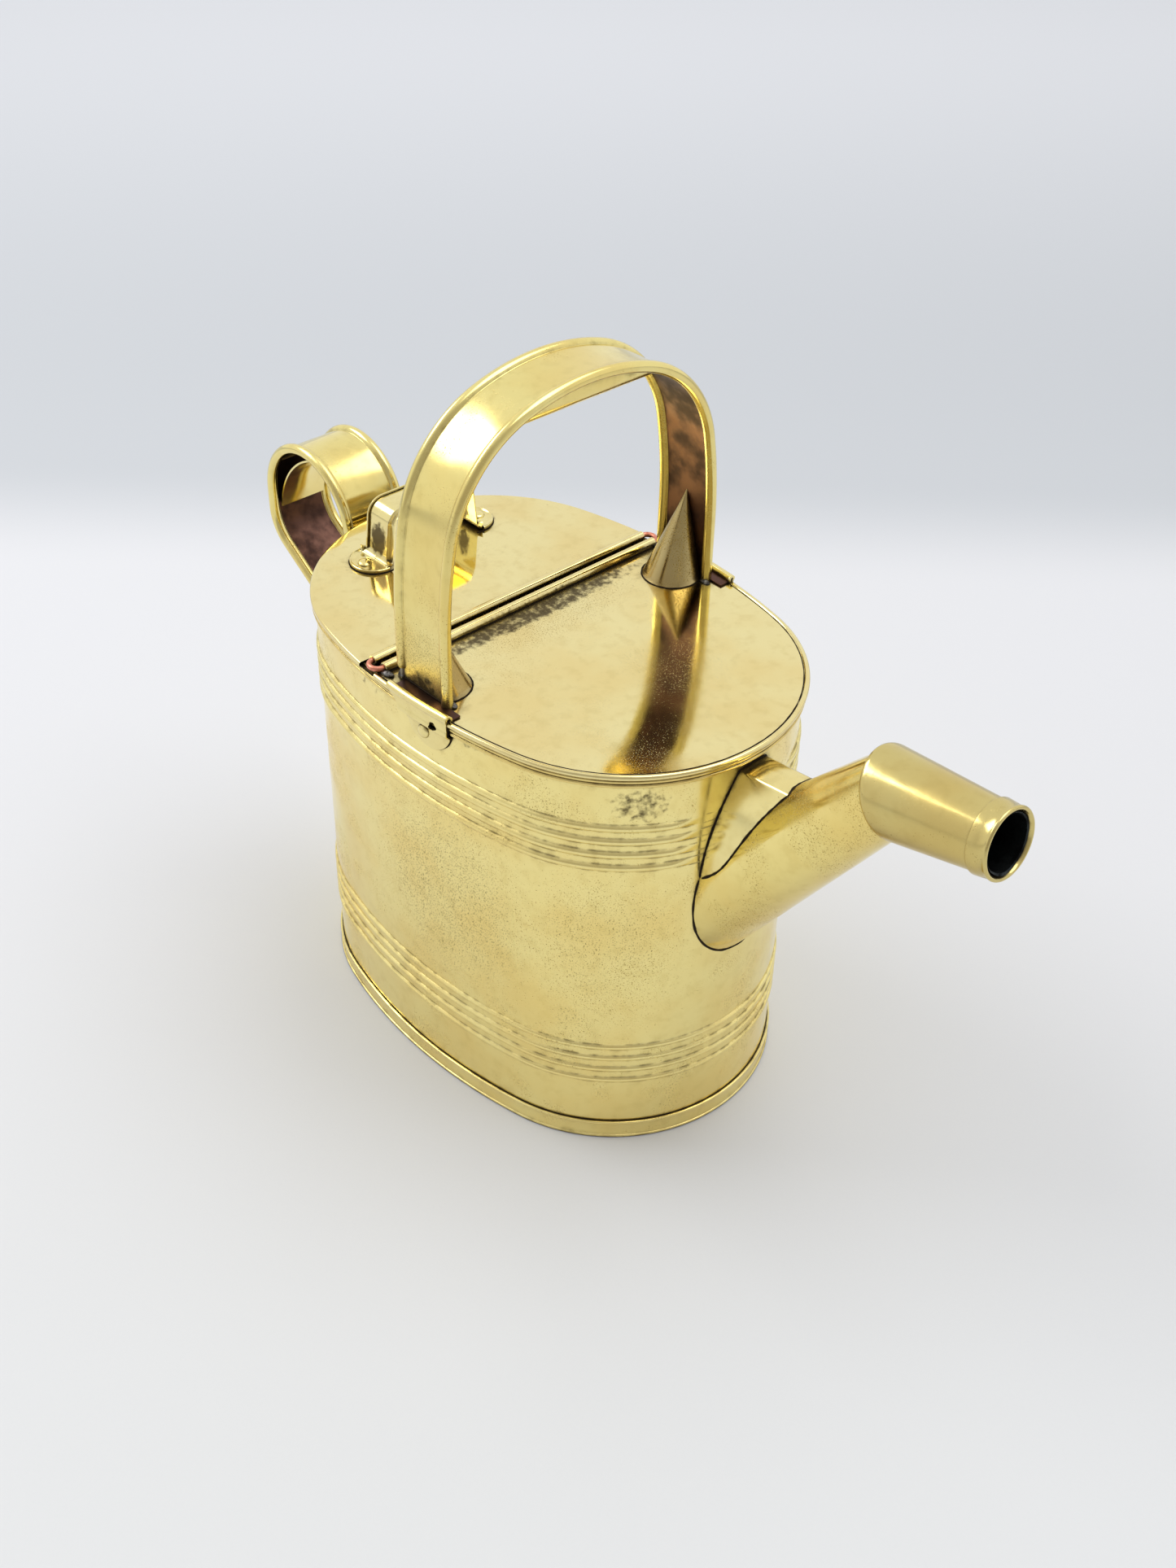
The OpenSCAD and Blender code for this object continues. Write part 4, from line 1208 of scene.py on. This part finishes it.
# %% Saddle
saddle_start = halve(len(saddle_line), -24.0, 60.0, lambda t: outside(saddle_point(saddle_line, t)) + 0.1)
axis_t = saddle_line[:, 1] / math.tan(spout_rise - saddle_tilt)
saddle_end = halve(len(saddle_line), saddle_start, axis_t,
                   lambda t: -outside_tube(saddle_point(saddle_line, t)) - 0.1)
shown = (axis_t > saddle_start) & (outside_tube(saddle_point(saddle_line, saddle_start)) > 0)
kept = saddle_line[shown]
start_t = saddle_start[shown]
end_t = saddle_end[shown]
saddle_rows = [saddle_point(kept, start_t + (end_t - start_t) * s) for s in np.linspace(0, 1, 24)]
saddle = skin("spout_saddle_sheet", saddle_rows, wrap_cols=False)
finish(saddle, bright_brass, ["spout_saddle"])
print("saddle lines:", len(kept))

# %% Seams of the spout
wall_seam = tube_point(turn, tube_start(turn, 0.0))
below_saddle = np.abs(np.degrees((turn + math.pi) % (2 * math.pi) - math.pi)) > 72
seams = [bead_line("tube_seam", wall_seam[below_saddle], 0.45, 1),
         bead_line("saddle_wall_seam", saddle_point(kept, start_t + 0.1), 0.5, 2),
         bead_line("saddle_tube_seam", saddle_point(kept, end_t - 0.1), 0.5, 3)]
finish(joined("spout_seams", *seams), flux_and_shadow_black)

# %% Nozzle
nozzle_len = 47.2
nozzle_r = 15.5
nozzle_taper = 0.079


def nozzle_point(turn, t, grow=0.0):
    """Points of the nozzle, t along it from the elbow."""
    return cone_point(turn, t, elbow, slanted(nozzle_rise), nozzle_r - nozzle_taper * t + grow)


def nozzle_start(turn, forward, grow=0.0):
    """Where each line of the nozzle meets a plane parallel to the mitre."""
    return halve(len(turn), -40.0, 40.0,
                 lambda t: (nozzle_point(turn, t, grow) - elbow) @ mitre_way - forward)


shoulder_in = 2.6
cone_line = nozzle_start(turn, shoulder_in)
edge_line = nozzle_point(turn, nozzle_start(turn, 0.0))
shoulder_line = nozzle_point(turn, cone_line)
tube_line = tube_point(turn, tube_end(turn)) + mitre_way * 0.25
rows = []
for s in np.linspace(0, 1, 9):
    rows.append((1 - s) ** 2 * tube_line + 2 * s * (1 - s) * edge_line + s**2 * shoulder_line)
mouth_t = np.full_like(turn, nozzle_len - 0.4)
for s in np.linspace(0, 1, 16)[1:]:
    rows.append(nozzle_point(turn, cone_line + (mouth_t - cone_line) * s))
nozzle = skin("nozzle_cone", rows, wrap_rows=False)
finish(nozzle, nozzle_brass_painted_dark, ["spout_nozzle"])

# %% Mouth ring
ferrule_len = 7.6
ring_foot = nozzle_len - ferrule_len
ring_section = np.concatenate([[(ring_foot, -0.2)], arc(ring_foot + 0.35, 0.55, 0.35, 180, 90, 5),
                               [(nozzle_len - 4.5, 0.75), (nozzle_len - 2.0, 0.72)],
                               arc(nozzle_len - 0.75, 0.35, 0.75, 120, -60, 12), [(nozzle_len - 1.6, -1.0)]])
rows = [nozzle_point(turn, np.full_like(turn, t), g + 0.05 * np.cos(2 * turn + t)) for t, g in ring_section]
ferrule = skin("mouth_ring", rows, wrap_rows=False)
finish(ferrule, nozzle_brass_painted_dark, ["nozzle_ferrule"])

# %% Near-black inside of the nozzle, tarnish with painted shade, and its torn edge
rng = np.random.default_rng(12)
tear = 0.5 * rng.uniform(-1, 1, len(turn))
tear = np.convolve(np.tile(tear, 3), [0.2, 0.6, 0.2], "same")[len(turn):2 * len(turn)]
at_bottom = np.exp(-(((turn - math.pi - 0.35) / 0.4) ** 2))
lip_t = nozzle_len - 0.9 + 0.25 * tear + at_bottom * (0.9 + 0.8 * tear)
bore_start = nozzle_start(turn, 0.6, -1.2)
rows = [nozzle_point(turn, bore_start, -1.2)]
for s in np.linspace(0, 1, 10)[1:]:
    rows.append(nozzle_point(turn, bore_start * (1 - s) + lip_t * s, -1.25))
rows.append(nozzle_point(turn, lip_t - 0.4, -1.75 - 0.5 * at_bottom))
rows.append(nozzle_point(turn, lip_t - 5.0, -1.7))
nozzle_inside = skin("nozzle_inside", rows, wrap_rows=False)
finish(nozzle_inside, shaded_black_inside)

# %% [markdown]
# ## Solder, tarnished faces and the nodes that stay
# Old repairs leave grey lumps of solder at the hinge ends and beside the feet of the cones. The inner faces
# of the legs and of the loop were never polished, so a thin dark skin lies over them. The base plate and
# the wires inside the rolled edges keep the frame's own shape and only need metal.


# %% Solder lumps
def lump(centre, size, seed):
    """Uneven blob."""
    rng = np.random.default_rng(seed)
    bm = bmesh.new()
    bmesh.ops.create_icosphere(bm, subdivisions=4, radius=1.0)
    waves = rng.uniform(-1, 1, (5, 3)) * 2.6
    for v in bm.verts:
        push = 1 + 0.10 * sum(math.sin(v.co.dot(Vector(w)) + i) for i, w in enumerate(waves))
        v.co = Vector((v.co[i] * size[i] * push + centre[i] for i in range(3))) * MM
    mesh = bpy.data.meshes.new("lump")
    bm.to_mesh(mesh)
    bm.free()
    return placed("lump", mesh)


lump_places = [(-12.6, half_curl + 0.2, 0.4, (2.6, 1.5, 1.1), 21),
               (handle_x + 13.5, leg_face - 1.4, 0.3, (2.2, 1.3, 0.8), 25),
               (handle_x - 13.0, leg_face + 0.9, 0.9, (2.0, 1.2, 1.2), 29)]
lumps = [lump((x, side * y, body_h + up), size, seed + side)
         for side in both for x, y, up, size, seed in lump_places]
finish(joined("solder_lumps", *lumps), solder, corner=180)


# %% Dark skins inside the straps
def inner_skin(name, stops, width, shift, to_space):
    """Thin unpolished face just inside a strap's web."""
    cut = np.column_stack([np.full(9, shift), np.linspace(-width / 2, width / 2, 9)])
    return swept(name, stops, [cut] * len(stops), to_space, caps=False, wrap_cols=False)


def web_width(strap_w):
    """Flat width between the two rolled edges of a strap."""
    return strap_w - 4 * strap_roll - 0.4


below_web = strap_t / 2 + 0.05
web = web_width(handle_w)
grip_end = grip_high[1] + 1
leg_stops = [s for s in stops if s[0][0] < -grip_end]
far_stops = [s for s in stops if s[0][0] > grip_end]
skins = [inner_skin("leg_skin", part, web, -below_web, handle_space) for part in (leg_stops, far_stops)]
loop_stops = [s for s in rear_stops if s[2] > upper_leg + loop_r * 2.4]
loop_skin = inner_skin("loop_skin", loop_stops, web_width(rear_w), below_web, rear_space)
leg_skins = joined("unpolished_faces", *skins, loop_skin)
finish(leg_skins, brown_tarnish, corner=180)

# %% [markdown]
# Old polish dries black along every edge where two sheets meet, and these fine dark lines give the can its
# drawing; they also paint the shade that lies in each joint, so they are painted shadow lines along with the
# dark polish. They are real raised lines here, a few tenths of a millimetre thick and uneven, so that they
# hold in every view and don't depend on the shading of a corner.

# %% Painted shadow lines round the lobes, cones, bands and the plate
def run_round(outline, out, z, r, seed, closed=False):
    """A dark line round the oval, at a distance outside it and a height: painted shadow along a joint, with
    old polish.
    """
    points, ways = outline
    return bead_line("line", level(points + ways * out, z), r, seed, closed)


def lobe_edge(side):
    """Edge of a lug's lobe, from its left end round the bottom to its right end, on the body or the rim."""
    rows = lug_rows()[:30]
    edge = [(out, z, left) for out, z, left, _ in rows][::-1]
    edge += [(out, z, right) for out, z, _, right in rows]
    path = []
    for out, z, x in edge:
        at_wall = max(out - lug_t, 0.05)
        path.append((x, side * (math.sqrt((side_r + at_wall) ** 2 - x**2) - side_cy), z))
    return path


whole = whole_line(0)
behind_curl = [(front_curl_x + 1.6, y, body_h + 0.05) for y in np.linspace(-half_curl, half_curl, 120)]
shadow_and_flux_lines = [run_round(whole, 0.12, foot_top + 0.1, 0.2, 31, True),
               run_round(whole, 0.12, rim_low - 0.1, 0.28, 32, True),
               run_round(whole, 1.0, rim_high + 0.1, 0.3, 33, True),
               run_round(front_line(0, front_curl_x + 3), -0.15, body_h + 0.02, 0.2, 34),
               bead_line("line", behind_curl, 0.35, 35)]
lid_shadow_lines = []
for side in both:
    shadow_and_flux_lines.append(bead_line("line", lobe_edge(side), 0.3, 36 + side))
    ring = arc(handle_x, leg_face - cone_in, cone_r * 1.04, 147, 393, 90)
    shadow_and_flux_lines.append(bead_line("line", level(ring * (1, side), body_h + 0.08), 0.3, 41 + side))
    path = [(handle_x + x, side * (half_span + strap_t / 2 + 0.1), body_h + lug_t + 0.1)
            for x in np.linspace(-14, 14, 40)]
    shadow_and_flux_lines.append(bead_line("line", path, 0.5, 44 + side))
    ring = arc(0, foot_mid, foot_r * 1.02, -20, 200, 60)
    path = level(ring * (1, side) + (knob_x, 0), lid_top + 0.08)
    lid_shadow_lines.append(bead_line("line", path, 0.26, 51 + side))
finish(joined("shadow_and_flux_lines", *shadow_and_flux_lines), flux_and_shadow_black)
finish(joined("lid_shadow_and_flux_lines", *lid_shadow_lines), flux_and_shadow_black, body="half_lid")

# %% Frame nodes that stay
wires = ("handle_wire_front", "handle_wire_rear", "rear_handle_wire_left", "rear_handle_wire_right")
for name, metal in [(wire, steel) for wire in wires] + [("base_plate", body_brass)]:
    kept_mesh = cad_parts[name].data
    kept_mesh.materials.clear()
    kept_mesh.materials.append(metal)
    print(name, "is", metal.name)

# %% [markdown]
# ## Studio
# A pale sweep under very soft light: the floor is one large sheet whose colour is painted greyer far away and
# lighter again farthest off, a painted fall of light across the backdrop, and the world is a bright tent that
# is darker towards the room. Two large lamps give the soft highlights on the rolled edges.

# %% Floor
view_turn = math.radians(46.3)
toward_viewer = (math.sin(view_turn), -math.cos(view_turn))
floor_half = 6000.0


def floor_material():
    """Pale paper with painted shade and light: greyer far behind the object, lighter again farthest off."""
    paper, shader, place = new_material("paper")
    away = vector("DOT_PRODUCT", place, (-toward_viewer[0], -toward_viewer[1], 0))["Value"]
    # The ramp paints the backdrop's fall of light into the paper's colour: painted shade in the far band,
    # painted light beyond it.
    near_grey = (0.71, 0.72, 0.725)
    mid_grey = (0.70, 0.705, 0.725)
    far_painted_shade = (0.545, 0.565, 0.59)
    farthest_painted_light = (0.755, 0.77, 0.80)
    colour = blend(ramp(away, -0.35, 0.12), near_grey, mid_grey)
    colour = blend(ramp(away, 0.33, 0.46), colour, far_painted_shade)
    colour = blend(ramp(away, 0.55, 1.6), colour, farthest_painted_light)
    grain = times(ramp(noise(place, 1.2, 3), 0.4, 0.7), 0.02)
    paper.node_tree.links.new(blend(grain, colour, (0.5, 0.5, 0.52)), shader.inputs["Base Color"])
    shader.inputs["Roughness"].default_value = 0.9
    shader.inputs["Specular IOR Level"].default_value = 0.1
    return paper


floor_steps = np.linspace(-floor_half, floor_half, 25)
floor = skin("paper_floor", [[(x, y, -0.05) for x in floor_steps] for y in floor_steps], wrap_cols=False)
floor.data.materials.append(floor_material())
if floor.data.polygons[0].normal.z < 0:
    floor.data.flip_normals()
print("floor, m:", 2 * floor_half * MM)

# %% World and lamps
world = bpy.data.worlds.new("tent")
bpy.context.scene.world = world
world.use_nodes = True
sky = world.node_tree
way = node(sky, "ShaderNodeTexCoord").outputs["Generated"]
toward_room = vector("DOT_PRODUCT", way, (*toward_viewer, 0.15))["Value"]
dim = times(ramp(toward_room, 0.1, 0.9), 0.65)
sky.links.new(blend(dim, (0.93, 0.94, 0.96), (0.20, 0.17, 0.14)), sky.nodes["Background"].inputs["Color"])
sky.nodes["Background"].inputs["Strength"].default_value = 1.0


def lamp(name, place, aim, size, power):
    """Soft square lamp."""
    data = bpy.data.lights.new(name, "AREA")
    data.shape = "RECTANGLE"
    data.size, data.size_y = size
    data.energy = power
    made = placed(name, data)
    made.location = place
    made.rotation_mode = "QUATERNION"
    made.rotation_quaternion = (Vector(aim) - Vector(place)).to_track_quat("-Z", "Y")


print("lamps: a window to the left and one from above")
lamp("window", (-1.1, -0.55, 1.35), (0, 0, 0.1), (0.9, 0.7), 9)
lamp("over", (0.3, 0.5, 1.7), (0, 0, 0.1), (1.2, 1.0), 8)
bpy.context.scene.view_settings.view_transform = "Standard"

# %% [markdown]
# ## Camera
# The camera looks steeply down from the spout's side, so the flat top, the front of the body and the mouth
# all show. Its turn is written as an azimuth, an elevation and a small roll, and its place in metres.

# %% Camera
rise = math.radians(38.0)
roll = math.radians(1.4)
back = Vector((math.sin(view_turn) * math.cos(rise), -math.cos(view_turn) * math.cos(rise), math.sin(rise)))
right = Vector((math.cos(view_turn), math.sin(view_turn), 0))
up = back.cross(right)
camera_data = bpy.data.cameras.new("camera")
camera_data.lens = 41.13
camera_data.clip_start = 0.01
camera = placed("camera", camera_data)
rolled_right = math.cos(roll) * right + math.sin(roll) * up
rolled_up = math.cos(roll) * up - math.sin(roll) * right
turned = Matrix((rolled_right, rolled_up, back)).transposed()
camera.matrix_world = Matrix.Translation(Vector((0.4288, -0.3887, 0.5572))) @ turned.to_4x4()
bpy.context.scene.camera = camera
print("camera, m:", [round(v, 3) for v in camera.matrix_world.translation])
